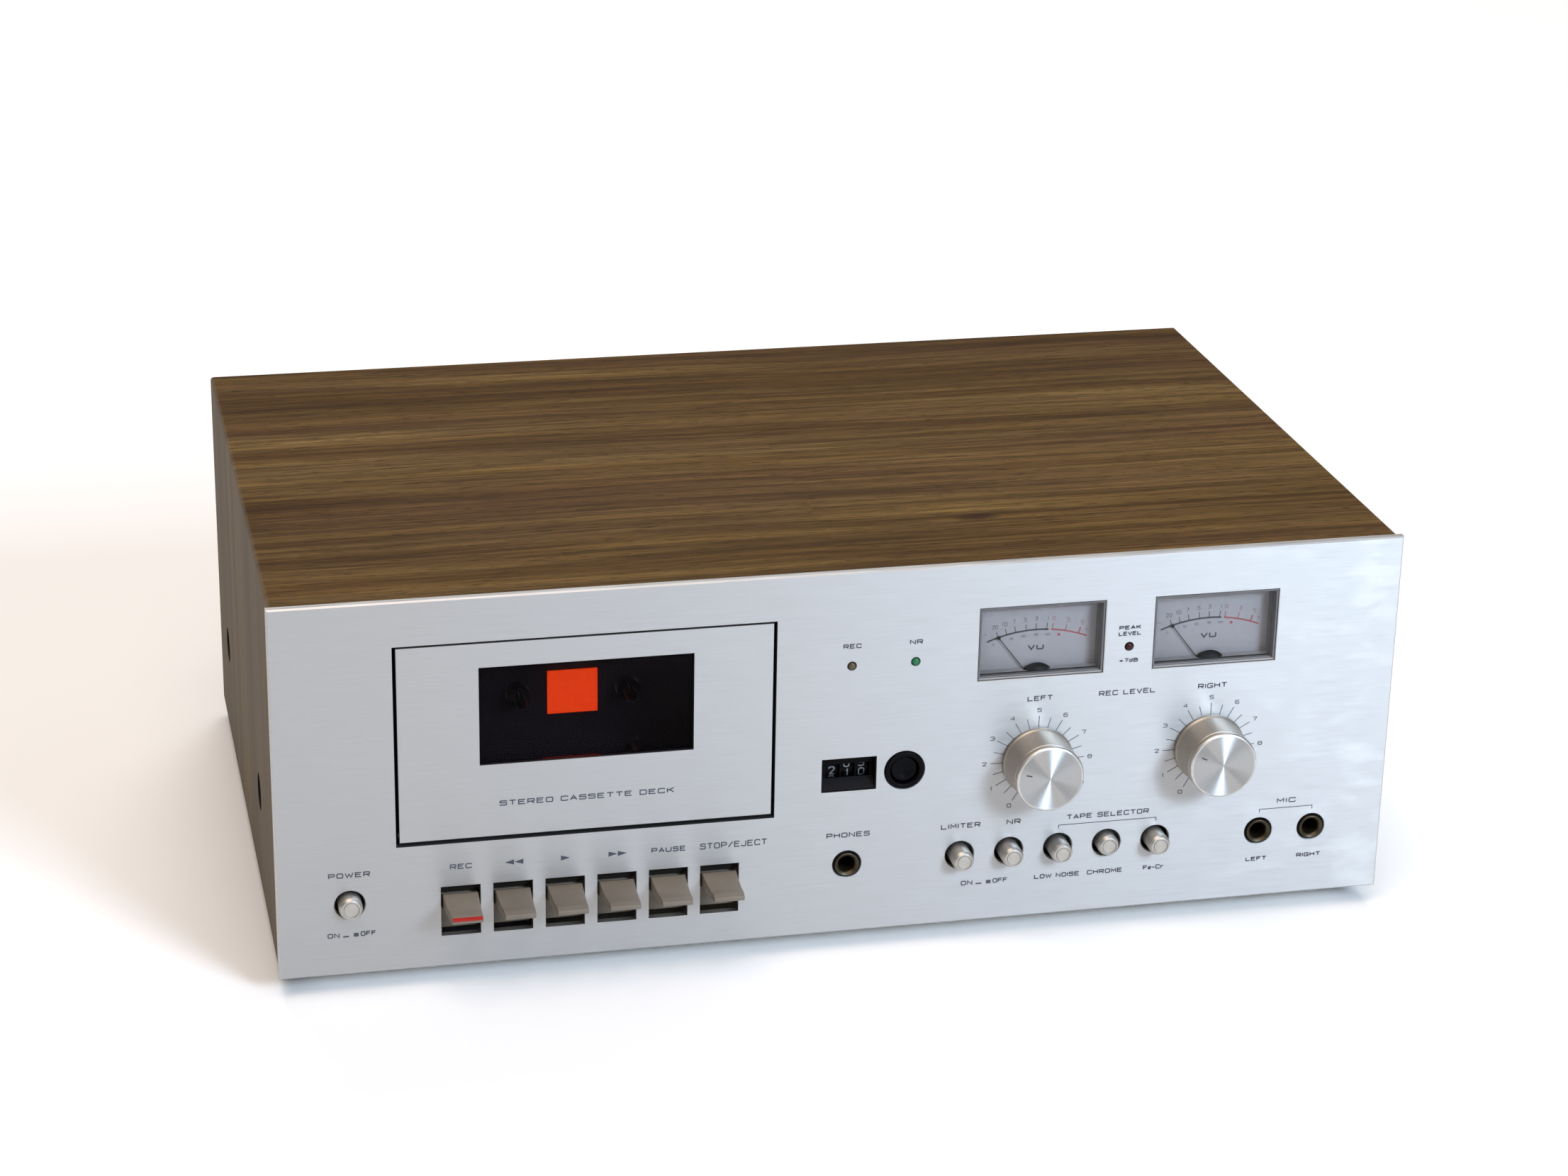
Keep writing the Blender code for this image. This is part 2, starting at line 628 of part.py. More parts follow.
def cassette_holder():
    """Channel behind the door that takes the cassette, open at the top, the back and the heads."""
    width, thick, height = TAPE_SIZE
    x = (TAPE_X - width / 2, TAPE_X + width / 2)
    lips = (x[0] + 4.5, x[1] - 4.5)
    back = TAPE_DEPTH + thick
    above = TAPE_Z + height + CUT_PAST
    notch_x = (HEAD_PLATE_X[0] + 4.0, HEAD_PLATE_X[1] - 2.6)
    bm = bmesh.new()
    box(bm, (x[0] - SHEET, x[1] + SHEET), (DOOR_THICKNESS + GAP, back + SHEET),
        (HINGE_Z - HINGE_EYE_R, TAPE_Z + height))
    holder = part("cassette_holder", bm, PAINTED_STEEL, (TAPE_X, HINGE_DEPTH, HINGE_Z))
    openings = (
        ("behind_window", x, (-CUT_PAST, TAPE_DEPTH - SHEET), (0.0, above)),
        ("cassette_space", x, (TAPE_DEPTH, back), (TAPE_Z, above)),
        ("view", lips, (TAPE_DEPTH - 3.0, TAPE_DEPTH + 3.0), (WINDOW_Z[0] - 4.5, above)),
        ("spindle_space", lips, (back - 1.0, back + CUT_PAST), (TAPE_Z + 3.5, above)),
        ("head_notch", notch_x, (TAPE_DEPTH + GAP, back + CUT_PAST), (0.0, TAPE_Z + 5.0)),
        ("under_shelf", x, (TAPE_DEPTH - 3.0, back + CUT_PAST), (0.0, TAPE_Z - SHEET)),
    )
    for name, across, depth, height in openings:
        cut = bmesh.new()
        box(cut, across, depth, height)
        boolean(holder, cut, "DIFFERENCE", name)
    bore = bmesh.new()
    rod(bore, (x[0] - CUT_PAST, x[1] + CUT_PAST), (HINGE_DEPTH, HINGE_Z), HINGE_PIN_R + GAP)
    boolean(holder, bore, "DIFFERENCE", "pin_bores")


def key_tab_outline():
    """Side view of a key's finger tab: a dished top, a thin lip and a rising underside."""
    top = [(KEY_TAB_BACK, 28.0)]
    crest_depth = 2.0
    steps = 6
    for index in range(steps + 1):
        share = index / steps
        depth = crest_depth - share * (KEY_PROUD - 0.6 + crest_depth)
        dish = 28.9 + 1.3 * (1.0 - share) ** 3 + 0.7 * share ** 2
        top.append((depth, dish))
    lip = [(-KEY_PROUD, 28.9), (-KEY_PROUD, 27.2), (-KEY_PROUD + 0.6, 26.9)]
    return top + lip + [(KEY_TAB_BACK, 22.6)]


def taper_tab(bm, x):
    """Widen a key's tab evenly from its lip to its skirt."""
    widest = KEY_SKIRT_WIDTH / KEY_TAB_WIDTH
    for vert in bm.verts:
        depth = vert.co.y / MM - PANEL_Y
        share = (depth + KEY_PROUD) / (KEY_TAB_BACK + KEY_PROUD)
        vert.co.x = (x + (vert.co.x / MM - x) * (1.0 + share * (widest - 1.0))) * MM


def transport_keys():
    """Six piano-type keys on one rod, each with a skirt behind its slot."""
    pivot_depth, pivot_z = KEY_PIVOT
    half_tab = KEY_TAB_WIDTH / 2
    half_skirt = KEY_SKIRT_WIDTH / 2
    arm_half, arm_height = KEY_ARM[0] / 2, KEY_ARM[1]
    arm_low = pivot_z - 3.5
    for index, name in enumerate(KEY_NAMES):
        x = key_x(index)
        bm = extruded_across((key_tab_outline(),), (x - half_tab, x + half_tab))
        taper_tab(bm, x)
        key = part(f"{name}_key", bm, KEY_PLASTIC, (x, pivot_depth, pivot_z))
        bevel(key, 0.45)
        skirt = bmesh.new()
        box(skirt, (x - half_skirt, x + half_skirt), KEY_SKIRT_DEPTH, KEY_SKIRT_Z)
        boolean(key, skirt, "UNION", "skirt")
        arm = bmesh.new()
        box(arm, (x - arm_half, x + arm_half), (KEY_SKIRT_DEPTH[1] - 0.4, pivot_depth),
            (arm_low, arm_low + arm_height))
        boolean(key, arm, "UNION", "arm")
        eye = bmesh.new()
        rod(eye, (x - arm_half - 0.2, x + arm_half + 0.2), KEY_PIVOT, KEY_EYE_R)
        boolean(key, eye, "UNION", "eye")
        bore = bmesh.new()
        rod(bore, (x - half_skirt, x + half_skirt), KEY_PIVOT, KEY_ROD_R + GAP)
        boolean(key, bore, "DIFFERENCE", "rod_bore")


def key_pivot_rod():
    """Steel rod that all six keys turn on."""
    first, last = key_x(0), key_x(len(KEY_NAMES) - 1)
    bm = bmesh.new()
    rod(bm, (first - KEY_ROD_PAST, last + KEY_ROD_PAST), KEY_PIVOT, KEY_ROD_R)
    part("key_pivot_rod", bm, STEEL, ((first + last) / 2, *KEY_PIVOT))


def push_button(name, at, radius, proud, stem_end):
    """Metal push button with a coned edge, and a stem behind it."""
    cone = 1.5
    profile = (
        (0.0, proud), (radius * 0.82, proud), (radius, proud - cone), (radius, -BUTTON_BACK),
        (BUTTON_STEM_R, -BUTTON_BACK), (BUTTON_STEM_R, -stem_end), (0.0, -stem_end),
    )
    turned(name, profile, (at[0], 0.0, at[1]), BUTTON_METAL, 20)


def push_buttons():
    """Power button, and the row of five with one of them pressed in."""
    push_button("power_button", POWER_AT, POWER_R, POWER_OUT, POWER_STEM)
    for index, name in enumerate(BUTTON_NAMES):
        proud = BUTTON_IN if name == PRESSED else BUTTON_OUT
        at = (BUTTON_FIRST_X + index * BUTTON_PITCH, BUTTON_Z)
        push_button(f"{name}_button", at, BUTTON_R, proud, BUTTON_STEM + BUTTON_OUT - proud)


def switch_bank():
    """Frame of five switches behind the button row."""
    count = len(BUTTON_NAMES)
    last = BUTTON_FIRST_X + (count - 1) * BUTTON_PITCH
    front, back = SWITCH_DEPTH
    bm = bmesh.new()
    box(bm, (BUTTON_FIRST_X - SWITCH_MARGIN, last + SWITCH_MARGIN), SWITCH_DEPTH,
        (BUTTON_Z - SWITCH_MARGIN, BUTTON_Z + SWITCH_MARGIN))
    bank = part("switch_bank", bm, STEEL)
    bores = bmesh.new()
    for index in range(count):
        at = (BUTTON_FIRST_X + index * BUTTON_PITCH, BUTTON_Z)
        disc(bores, at, SWITCH_BORE_R, (front - CUT_PAST, back - 6.0), 16)
    boolean(bank, bores, "DIFFERENCE", "bores")


def jack(name, at):
    """Quarter-inch socket with a ring nut on the panel."""
    neck_r = JACK_HOLE_R - GAP
    proud = 0.9
    behind = PANEL_THICKNESS + GAP
    profile = (
        (JACK_BORE_R, proud), (neck_r - 0.4, proud), (neck_r, proud - 0.4), (neck_r, -behind),
        (JACK_BODY_R, -behind), (JACK_BODY_R, -JACK_BACK), (JACK_BORE_R, -JACK_BACK),
    )
    turned(name, profile, (at[0], 0.0, at[1]), BRASS, 20)


def counter_housing():
    """Black moulding behind the counter window, with the reset button's cup beside it."""
    behind = PANEL_THICKNESS + GAP
    wall_x, wall_z = 3.1, 2.2
    bm = bmesh.new()
    box(bm, COUNTER_FLANGE_X, (behind, behind + SHEET), COUNTER_FLANGE_Z)
    housing = part("counter_housing", bm, BLACK_PLASTIC)
    body = bmesh.new()
    box(body, COUNTER_BODY_X, (behind + 0.5, COUNTER_BODY_BACK), COUNTER_BODY_Z)
    boolean(housing, body, "UNION", "body")
    cup = bmesh.new()
    disc(cup, RESET_AT, RESET_HOLE_R - GAP, (-0.6, COUNTER_BODY_BACK - 5.0))
    boolean(housing, cup, "UNION", "cup")
    cut = bmesh.new()
    box(cut, (COUNTER_BODY_X[0] + wall_x, COUNTER_BODY_X[1] - wall_x), (-CUT_PAST, COUNTER_BODY_BACK - 2.0),
        (COUNTER_BODY_Z[0] + wall_z, COUNTER_BODY_Z[1] - wall_z))
    disc(cut, RESET_AT, RESET_R + 0.5, (-CUT_PAST, COUNTER_BODY_BACK))
    boolean(housing, cut, "DIFFERENCE", "inside")
    axle = bmesh.new()
    rod(axle, (COUNTER_BODY_X[0] + 1.6, COUNTER_BODY_X[1] - 1.6), COUNTER_AXIS, COUNTER_AXLE_R, 12)
    boolean(housing, axle, "UNION", "axle")


def counter_wheels():
    """Three number wheels on one axle."""
    half = COUNTER_WHEEL_HALF
    bore = COUNTER_AXLE_R + GAP
    profile = ((bore, half), (COUNTER_WHEEL_R, half), (COUNTER_WHEEL_R, -half), (bore, -half))
    for name, x in COUNTER_WHEELS:
        turned(f"counter_wheel_{name}", profile, (x, *COUNTER_AXIS), BLACK_PLASTIC, 20, "right")


def counter_reset_button():
    """Black button sunk in its cup."""
    sunk, cone = 0.9, 0.8
    profile = (
        (0.0, -sunk), (RESET_R - 0.9, -sunk), (RESET_R, -sunk - cone), (RESET_R, -RESET_BACK),
        (0.0, -RESET_BACK),
    )
    turned("counter_reset_button", profile, (RESET_AT[0], 0.0, RESET_AT[1]), BLACK_PLASTIC, 20)


def meter_middle(side):
    """The x of the middle of a meter."""
    return (METER_X[side][0] + METER_X[side][1]) / 2


def meters():
    """Two meter cases open at the front, each with a needle on its pivot."""
    half, back, height = METER_CASE
    for side, name in enumerate(SIDES):
        x = meter_middle(side)
        bm = bmesh.new()
        box(bm, (x - half, x + half), (PANEL_THICKNESS + GAP, back), height)
        case = part(f"meter_case_{name}", bm, BLACK_PLASTIC)
        cut = bmesh.new()
        box(cut, (x - half + SHEET, x + half - SHEET), (-CUT_PAST, METER_DIAL_DEPTH),
            (height[0] + SHEET, height[1] - SHEET))
        boolean(case, cut, "DIFFERENCE", "dial_space")
        needle(name, x)


def needle(name, x):
    """Thin needle and hub, leaning to the left end of the scale."""
    hub_r, hub_half = NEEDLE_HUB
    half = NEEDLE_HALF
    bm = bmesh.new()
    disc(bm, (x, NEEDLE_Z), hub_r, (NEEDLE_DEPTH - hub_half, NEEDLE_DEPTH + hub_half), 20)
    obj = part(f"meter_needle_{name}", bm, NEEDLE_BLACK, (x, NEEDLE_DEPTH, NEEDLE_Z))
    blade = bmesh.new()
    box(blade, (x - half, x + half), (NEEDLE_DEPTH - half, NEEDLE_DEPTH + half),
        (NEEDLE_Z, NEEDLE_Z + NEEDLE_LENGTH))
    pivot = world(x, NEEDLE_DEPTH, NEEDLE_Z)
    lean = Matrix.Rotation(-NEEDLE_LEAN, 4, "Y")
    blade.transform(Matrix.Translation(pivot) @ lean @ Matrix.Translation(-pivot))
    boolean(obj, blade, "UNION", "blade")


def lamps():
    """Three small indicator lamps with collars behind the panel."""
    behind, back = PANEL_THICKNESS + GAP, 9.0
    collar_r = 2.4
    profile = (
        (0.0, 0.9), (LAMP_R * 0.6, 0.7), (LAMP_R, 0.1), (LAMP_R, -behind),
        (collar_r, -behind), (collar_r, -back), (0.0, -back),
    )
    for name, x in LAMPS:
        look = GREEN_LAMP if name == "noise_reduction" else RED_LAMP
        turned(f"{name}_lamp", profile, (x, 0.0, LAMP_Z), look, 12)


def level_controls():
    """Rotary controls behind the panel and their spun knobs."""
    behind = PANEL_THICKNESS + GAP
    shaft_r, neck_r = CONTROL_SHAFT_R, CONTROL_NECK_R
    barrel_r, bore_r = KNOB_R - 0.6, CONTROL_SHAFT_R + GAP
    bore_end = CONTROL_SHAFT_PROUD + 0.5
    control = (
        (0.0, CONTROL_SHAFT_PROUD), (shaft_r, CONTROL_SHAFT_PROUD), (shaft_r, 0.0), (neck_r, 0.0),
        (neck_r, -behind), (CONTROL_BODY_R, -behind), (CONTROL_BODY_R, -CONTROL_BACK), (0.0, -CONTROL_BACK),
    )
    knob = (
        (0.0, KNOB_PROUD), (barrel_r - 1.0, KNOB_PROUD), (barrel_r, KNOB_PROUD - 1.0), (barrel_r, 3.0),
        (KNOB_R, 2.2), (KNOB_R, GAP), (bore_r, GAP), (bore_r, bore_end), (0.0, bore_end),
    )
    for name, (x, z) in zip(SIDES, KNOB_AT):
        turned(f"level_control_{name}", control, (x, 0.0, z), STEEL, 20)
        turned(f"level_knob_{name}", knob, (x, 0.0, z), SPUN_ALUMINIUM, 36)


def spindles():
    """Supply and take-up spindles: a tapered tip, crossed drive blades and a turntable behind."""
    collar_back = WELL_BACK - WELL_WALL - GAP
    front, shoulder = 20.0, 29.0
    tip_r, neck_r, collar_r, shaft_r = 1.2, 2.2, 4.6, 3.4
    table_r, table = 14.0, (37.0, 41.0)
    profile = (
        (0.0, -front), (tip_r, -front), (neck_r, -front - 3.0), (neck_r, -shoulder),
        (collar_r, -shoulder - 0.6), (collar_r, -collar_back), (shaft_r, -collar_back),
        (shaft_r, -table[0]), (table_r, -table[0]), (table_r, -table[1]), (0.0, -table[1]),
    )
    half, reach = 0.6, 3.6
    for name, x in zip(("supply", "takeup"), hub_xs()):
        spindle = turned(f"{name}_spindle", profile, (x, 0.0, HUB_Z), BLACK_PLASTIC, 16)
        upright = bmesh.new()
        box(upright, (x - half, x + half), (front + 3.0, shoulder + 1.5), (HUB_Z - reach, HUB_Z + reach))
        boolean(spindle, upright, "UNION", "upright_blade")
        level = bmesh.new()
        box(level, (x - reach, x + reach), (front + 3.3, shoulder + 1.2), (HUB_Z - half, HUB_Z + half))
        boolean(spindle, level, "UNION", "level_blade")


def head_plate():
    """Sliding plate that lifts the head and the pinch roller to the tape."""
    middle_depth = sum(HEAD_PLATE_DEPTH) / 2
    pin_r, pin_front = 1.2, 18.6
    bm = bmesh.new()
    box(bm, HEAD_PLATE_X, HEAD_PLATE_DEPTH, HEAD_PLATE_Z)
    slide = part("head_plate", bm, STEEL, (TAPE_X, middle_depth, sum(HEAD_PLATE_Z) / 2))
    pin = bmesh.new()
    disc(pin, (CAPSTAN_X, ROLLER_Z), pin_r, (pin_front, middle_depth), 16)
    boolean(slide, pin, "UNION", "roller_pin")


def record_play_head():
    """Tape head on the sliding plate."""
    width, deep, high = HEAD_SIZE
    bm = bmesh.new()
    box(bm, (TAPE_X - width / 2, TAPE_X + width / 2), (HEAD_FRONT, HEAD_FRONT + deep),
        (HEAD_Z, HEAD_Z + high))
    head = part("record_play_head", bm, STEEL)
    bevel(head, 1.2, 2)


def pinch_roller():
    """Rubber roller that presses the tape to the capstan."""
    half, bore, depth = 3.6, 1.5, 23.5
    profile = ((bore, half), (ROLLER_R, half), (ROLLER_R, -half), (bore, -half))
    turned("pinch_roller", profile, (CAPSTAN_X, depth, ROLLER_Z), RUBBER, 20)


def flywheel():
    """Heavy flywheel with the capstan shaft through its middle."""
    front, back = DRIVE_DEPTH
    tail = back + FLYWHEEL_TAIL
    profile = (
        (0.0, -CAPSTAN_FRONT), (CAPSTAN_R, -CAPSTAN_FRONT), (CAPSTAN_R, -front), (FLYWHEEL_R, -front),
        (FLYWHEEL_R, -back), (CAPSTAN_R, -back), (CAPSTAN_R, -tail), (0.0, -tail),
    )
    turned("flywheel", profile, (CAPSTAN_X, 0.0, CAPSTAN_Z), STEEL, 32)


def motor():
    """Drive motor with its shaft, and the pulley on it."""
    front, back = DRIVE_DEPTH
    shaft_r, shaft_front = MOTOR_SHAFT_R, front + 1.0
    face = back + 4.0
    body = (
        (0.0, -shaft_front), (shaft_r, -shaft_front), (shaft_r, -face), (MOTOR_R, -face),
        (MOTOR_R, -face - MOTOR_LENGTH), (0.0, -face - MOTOR_LENGTH),
    )
    turned("drive_motor", body, (MOTOR_AT[0], 0.0, MOTOR_AT[1]), STEEL, 20)
    bore_r = shaft_r + GAP
    pulley = ((bore_r, -front), (PULLEY_R, -front), (PULLEY_R, -back), (bore_r, -back))
    turned("motor_pulley", pulley, (MOTOR_AT[0], 0.0, MOTOR_AT[1]), BRASS, 24)


def belt_loop(grow, segments=14):
    """A belt's outline round the flywheel and the motor pulley, at a distance outside them."""
    wheel = Vector((CAPSTAN_X, CAPSTAN_Z))
    pulley = Vector(MOTOR_AT)
    along = pulley - wheel
    heading = math.atan2(along.y, along.x)
    open_angle = math.acos((FLYWHEEL_R - PULLEY_R) / along.length)
    points = []
    for step in range(segments + 1):
        angle = heading + open_angle + (2 * math.pi - 2 * open_angle) * step / segments
        points.append(wheel + Vector((math.cos(angle), math.sin(angle))) * (FLYWHEEL_R + grow))
    for step in range(segments // 2 + 1):
        angle = heading - open_angle + 2 * open_angle * step / (segments // 2)
        points.append(pulley + Vector((math.cos(angle), math.sin(angle))) * (PULLEY_R + grow))
    return [tuple(point) for point in points]


def drive_belt():
    """Flat belt from the motor to the flywheel."""
    middle = sum(DRIVE_DEPTH) / 2
    inside, outside = BELT_OFF_WHEEL
    bm = extruded_back((belt_loop(outside), belt_loop(inside)), (middle - BELT_HALF, middle + BELT_HALF))
    part("drive_belt", bm, RUBBER)


def power_transformer():
    """Laminated core with its winding."""
    bm = bmesh.new()
    box(bm, CORE_X, CORE_DEPTH, CORE_Z)
    core = part("power_transformer", bm, STEEL)
    winding = bmesh.new()
    box(winding, WINDING_X, WINDING_DEPTH, WINDING_Z)
    boolean(core, winding, "UNION", "winding")


def main_board():
    """Main circuit board over the floor of the tray."""
    bm = bmesh.new()
    box(bm, *MAIN_BOARD)
    part("main_board", bm, BOARD_BROWN)


clear_scene()
PARTS = collection("cassette_deck")
TOOLS = collection("cutters")
front_panel()
wood_cabinet()
chassis_tray()
feet()
rear_panel()
line_jack_plate()
mains_cord_gland()
mechanism_plate()
door_hinge_pin()
tape_reflector()
cassette_door()
door_window()
cassette_holder()
transport_keys()
key_pivot_rod()
push_buttons()
switch_bank()
jack("phones_jack", PHONES_AT)
for side_name, mic_place in zip(SIDES, MIC_AT):
    jack(f"mic_jack_{side_name}", mic_place)
counter_housing()
counter_wheels()
counter_reset_button()
meters()
lamps()
level_controls()
spindles()
head_plate()
record_play_head()
pinch_roller()
flywheel()
motor()
drive_belt()
power_transformer()
main_board()
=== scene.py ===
"""Looks for the front-loading cassette deck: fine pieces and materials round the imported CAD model.

Shapes are worked out in the deck's own measures, which are millimetres: x from the middle of the front
panel, depth back from the panel's front face, and height up from the panel's lower edge. TO_ROW turns
them into the row frame's metres. Places come from the CAD nodes' boxes.
"""

import math

import bmesh
import bpy
from mathutils import Matrix, Vector


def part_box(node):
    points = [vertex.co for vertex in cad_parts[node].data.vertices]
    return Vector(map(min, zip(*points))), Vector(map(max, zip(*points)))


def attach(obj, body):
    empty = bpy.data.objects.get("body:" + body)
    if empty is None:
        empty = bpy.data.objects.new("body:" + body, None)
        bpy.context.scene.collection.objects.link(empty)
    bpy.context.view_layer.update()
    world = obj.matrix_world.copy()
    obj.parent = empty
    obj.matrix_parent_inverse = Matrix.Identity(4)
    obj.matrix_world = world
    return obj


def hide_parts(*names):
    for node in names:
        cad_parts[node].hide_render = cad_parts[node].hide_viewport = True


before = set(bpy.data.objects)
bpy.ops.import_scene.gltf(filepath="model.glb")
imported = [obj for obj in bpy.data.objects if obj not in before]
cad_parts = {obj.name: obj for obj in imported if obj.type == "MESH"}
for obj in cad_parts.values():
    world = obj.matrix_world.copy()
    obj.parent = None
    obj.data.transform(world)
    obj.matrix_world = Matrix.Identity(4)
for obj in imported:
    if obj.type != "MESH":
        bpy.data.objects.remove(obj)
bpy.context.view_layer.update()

MM = 0.001
PANEL_LOW, PANEL_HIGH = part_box("front_panel")
ORIGIN = Vector(((PANEL_LOW.x + PANEL_HIGH.x) / 2, PANEL_LOW.y, PANEL_LOW.z))
TO_ROW = Matrix.Translation(ORIGIN) @ Matrix.Scale(MM, 4)

ROUND = 64
# The radius to which a turned solid closes on its axis.
TIP = 0.02
TURNS = {
    "front": Matrix.Rotation(math.pi / 2, 4, "X"),
    "back": Matrix.Rotation(-math.pi / 2, 4, "X"),
    "up": Matrix.Identity(4),
    "down": Matrix.Rotation(math.pi, 4, "X"),
    "right": Matrix.Rotation(math.pi / 2, 4, "Y"),
    "left": Matrix.Rotation(-math.pi / 2, 4, "Y"),
}
KEYS = ("record", "rewind", "play", "fast_forward", "pause", "stop_eject")
BUTTONS = ("limiter", "noise_reduction", "low_noise", "chrome", "ferrichrome")
SIDES = ("left", "right")
JACKS = ("phones_jack", "mic_jack_left", "mic_jack_right")
LAMPS = ("record", "noise_reduction", "peak")
WHEELS = ("hundreds", "tens", "units")


def span(node):
    """A CAD node's lowest and highest corners, in the deck's measures."""
    low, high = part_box(node)
    return (low - ORIGIN) / MM, (high - ORIGIN) / MM


def middle(node):
    """The middle of a CAD node's box, in the deck's measures."""
    low, high = span(node)
    return (low + high) / 2


def on_face(node):
    """The point of the panel's front plane that a CAD node's middle lies behind."""
    at = middle(node)
    return Vector((at.x, 0.0, at.z))


def about(value, half):
    """The two values at a distance either side of one."""
    return value - half, value + half


PANEL = span("front_panel")
WIDTH = PANEL[1].x - PANEL[0].x
HEIGHT = PANEL[1].z
THICK = PANEL[1].y
CABINET = span("wood_cabinet")
BOARD = 11.0
DOOR = span("cassette_door")
DOOR_GAP = 1.2
DOOR_TOP_GAP = 0.6
WINDOW = span("door_window")
WINDOW_LEDGE = (5.0, 4.0)
METER_WINDOW = (50.2, 30.0)
METER_WINDOW_LOW = 102.2
KEY_SLOT = (15.1, 12.9, 33.5)
BUTTON_HOLE = 5.75
JACK_HOLE = 5.6
RESET_HOLE = 7.9
LAMP_HOLE = 1.8
SHAFT_HOLE = 5.0
SCREW_DEPTH = 7.0
LINE_PITCH = 9.5
SIDE_SCREWS = ((77.0, 43.5), (230.0, 43.5))
KEY_BACK = 7.5
KEY_WIDENING = 0.207
POINTER_LEAN = {"left": -76.0, "right": -66.0}
COUNTER_WINDOW = ((-10.8, 10.8), (60.2, 74.1))


# ---------------------------------------------------------------- mesh building

def made(add, *values):
    """A bmesh of its own with one shape in it."""
    bm = bmesh.new()
    add(bm, *values)
    return bm


def box(bm, x, depth, height):
    """Add a box between two values of x, of depth and of height."""
    low, high = (Vector(corner) for corner in zip(x, depth, height))
    scale = Matrix.Diagonal((*(high - low), 1.0))
    bmesh.ops.create_cube(bm, size=1.0, matrix=Matrix.Translation((low + high) / 2) @ scale)


def loft(bm, rings, closed=False):
    """Join rings of the same number of points, and cap the two ends unless the rings close on themselves."""
    rows = [[bm.verts.new(point) for point in ring] for ring in rings]
    pairs = list(zip(rows, rows[1:]))
    if closed:
        pairs.append((rows[-1], rows[0]))
    else:
        bm.faces.new(rows[0])
        bm.faces.new(rows[-1])
    count = len(rows[0])
    for near, far in pairs:
        for index in range(count):
            after = (index + 1) % count
            bm.faces.new((near[index], near[after], far[after], far[index]))
    bmesh.ops.recalc_face_normals(bm, faces=bm.faces)


def ring(radius, along, segments=ROUND):
    """A circle of points about the Z axis."""
    turns = (2 * math.pi * index / segments for index in range(segments))
    return [Vector((radius * math.cos(turn), radius * math.sin(turn), along)) for turn in turns]


def lathe(bm, profile, at, facing="front", segments=ROUND):
    """Turn a profile of (radius, distance) about an axis through a place, facing one of six ways.

    A profile that starts and ends on the axis makes a solid; any other makes a closed ring.
    """
    matrix = Matrix.Translation(Vector(at)) @ TURNS[facing]
    solid = profile[0][0] == 0
    rows = profile[1:-1] if solid else profile
    if solid and abs(profile[0][1] - profile[1][1]) > 0.001:
        rows = [(TIP, profile[0][1])] + rows
    if solid and abs(profile[-1][1] - profile[-2][1]) > 0.001:
        rows = rows + [(TIP, profile[-1][1])]
    rings = [[matrix @ point for point in ring(radius, along, segments)] for radius, along in rows]
    loft(bm, rings, closed=not solid)


def arc(centre, radius, start, end, steps=6):
    """Points along an arc, from one angle in degrees to another."""
    points = []
    for step in range(steps + 1):
        turn = math.radians(start + (end - start) * step / steps)
        points.append((centre[0] + radius * math.cos(turn), centre[1] + radius * math.sin(turn)))
    return points


def extrude(bm, outline, depth, place=Matrix.Identity(4)):
    """Extrude an outline of (x, height) points between two depths."""
    rings = [[place @ Vector((x, at, height)) for x, height in outline] for at in depth]
    loft(bm, rings)


def extrude_across(bm, outline, x):
    """Extrude an outline of (depth, height) points between two values of x."""
    loft(bm, [[Vector((at, depth, height)) for depth, height in outline] for at in x])


def soften(bm, width, segments=2, angle=30.0):
    """Round off the edges that are sharper than an angle in degrees."""
    limit = math.radians(angle)
    edges = [edge for edge in bm.edges if len(edge.link_faces) == 2 and edge.calc_face_angle(0.0) > limit]
    bmesh.ops.bevel(bm, geom=edges, offset=width, segments=segments, profile=0.5, affect="EDGES",
                    clamp_overlap=True)


def softened(bm, width, segments, add, *values):
    """Add a shape to a bmesh with its own edges rounded off."""
    part = made(add, *values)
    soften(part, width, segments)
    merge(bm, part)


def merge(bm, other, index=None):
    """Move the faces of one bmesh into another, with a material's index if one is given."""
    if index is not None:
        for face in other.faces:
            face.material_index = index
    mesh = bpy.data.meshes.new("merge")
    other.to_mesh(mesh)
    other.free()
    bm.from_mesh(mesh)
    bpy.data.meshes.remove(mesh)


def boolean(bm, cutter, operation="DIFFERENCE"):
    """What is left when one bmesh is cut by another, joined to it, or kept only inside it."""
    objects = []
    for source in (bm, cutter):
        mesh = bpy.data.meshes.new("operand")
        source.to_mesh(mesh)
        source.free()
        objects.append(placed("operand", mesh))
    mod = objects[0].modifiers.new("boolean", "BOOLEAN")
    mod.operation = operation
    mod.solver = "EXACT"
    mod.object = objects[1]
    evaluated = objects[0].evaluated_get(bpy.context.evaluated_depsgraph_get())
    result = bmesh.new()
    result.from_mesh(evaluated.to_mesh())
    evaluated.to_mesh_clear()
    for obj in objects:
        mesh = obj.data
        bpy.data.objects.remove(obj, do_unlink=True)
        bpy.data.meshes.remove(mesh)
    return result


def in_order(bm):
    """The same mesh with its corners and faces sorted by place, as the boolean's own order isn't fixed."""
    verts = sorted(bm.verts, key=lambda vert: [round(part, 4) for part in vert.co])
    rank = {vert: index for index, vert in enumerate(verts)}
    rows = []
    for face in bm.faces:
        loop = [rank[vert] for vert in face.verts]
        first = loop.index(min(loop))
        rows.append((loop[first:] + loop[:first], face.material_index))
    ordered = bmesh.new()
    copies = [ordered.verts.new(vert.co) for vert in verts]
    for loop, index in sorted(rows):
        ordered.faces.new([copies[at] for at in loop]).material_index = index
    bm.free()
    return ordered


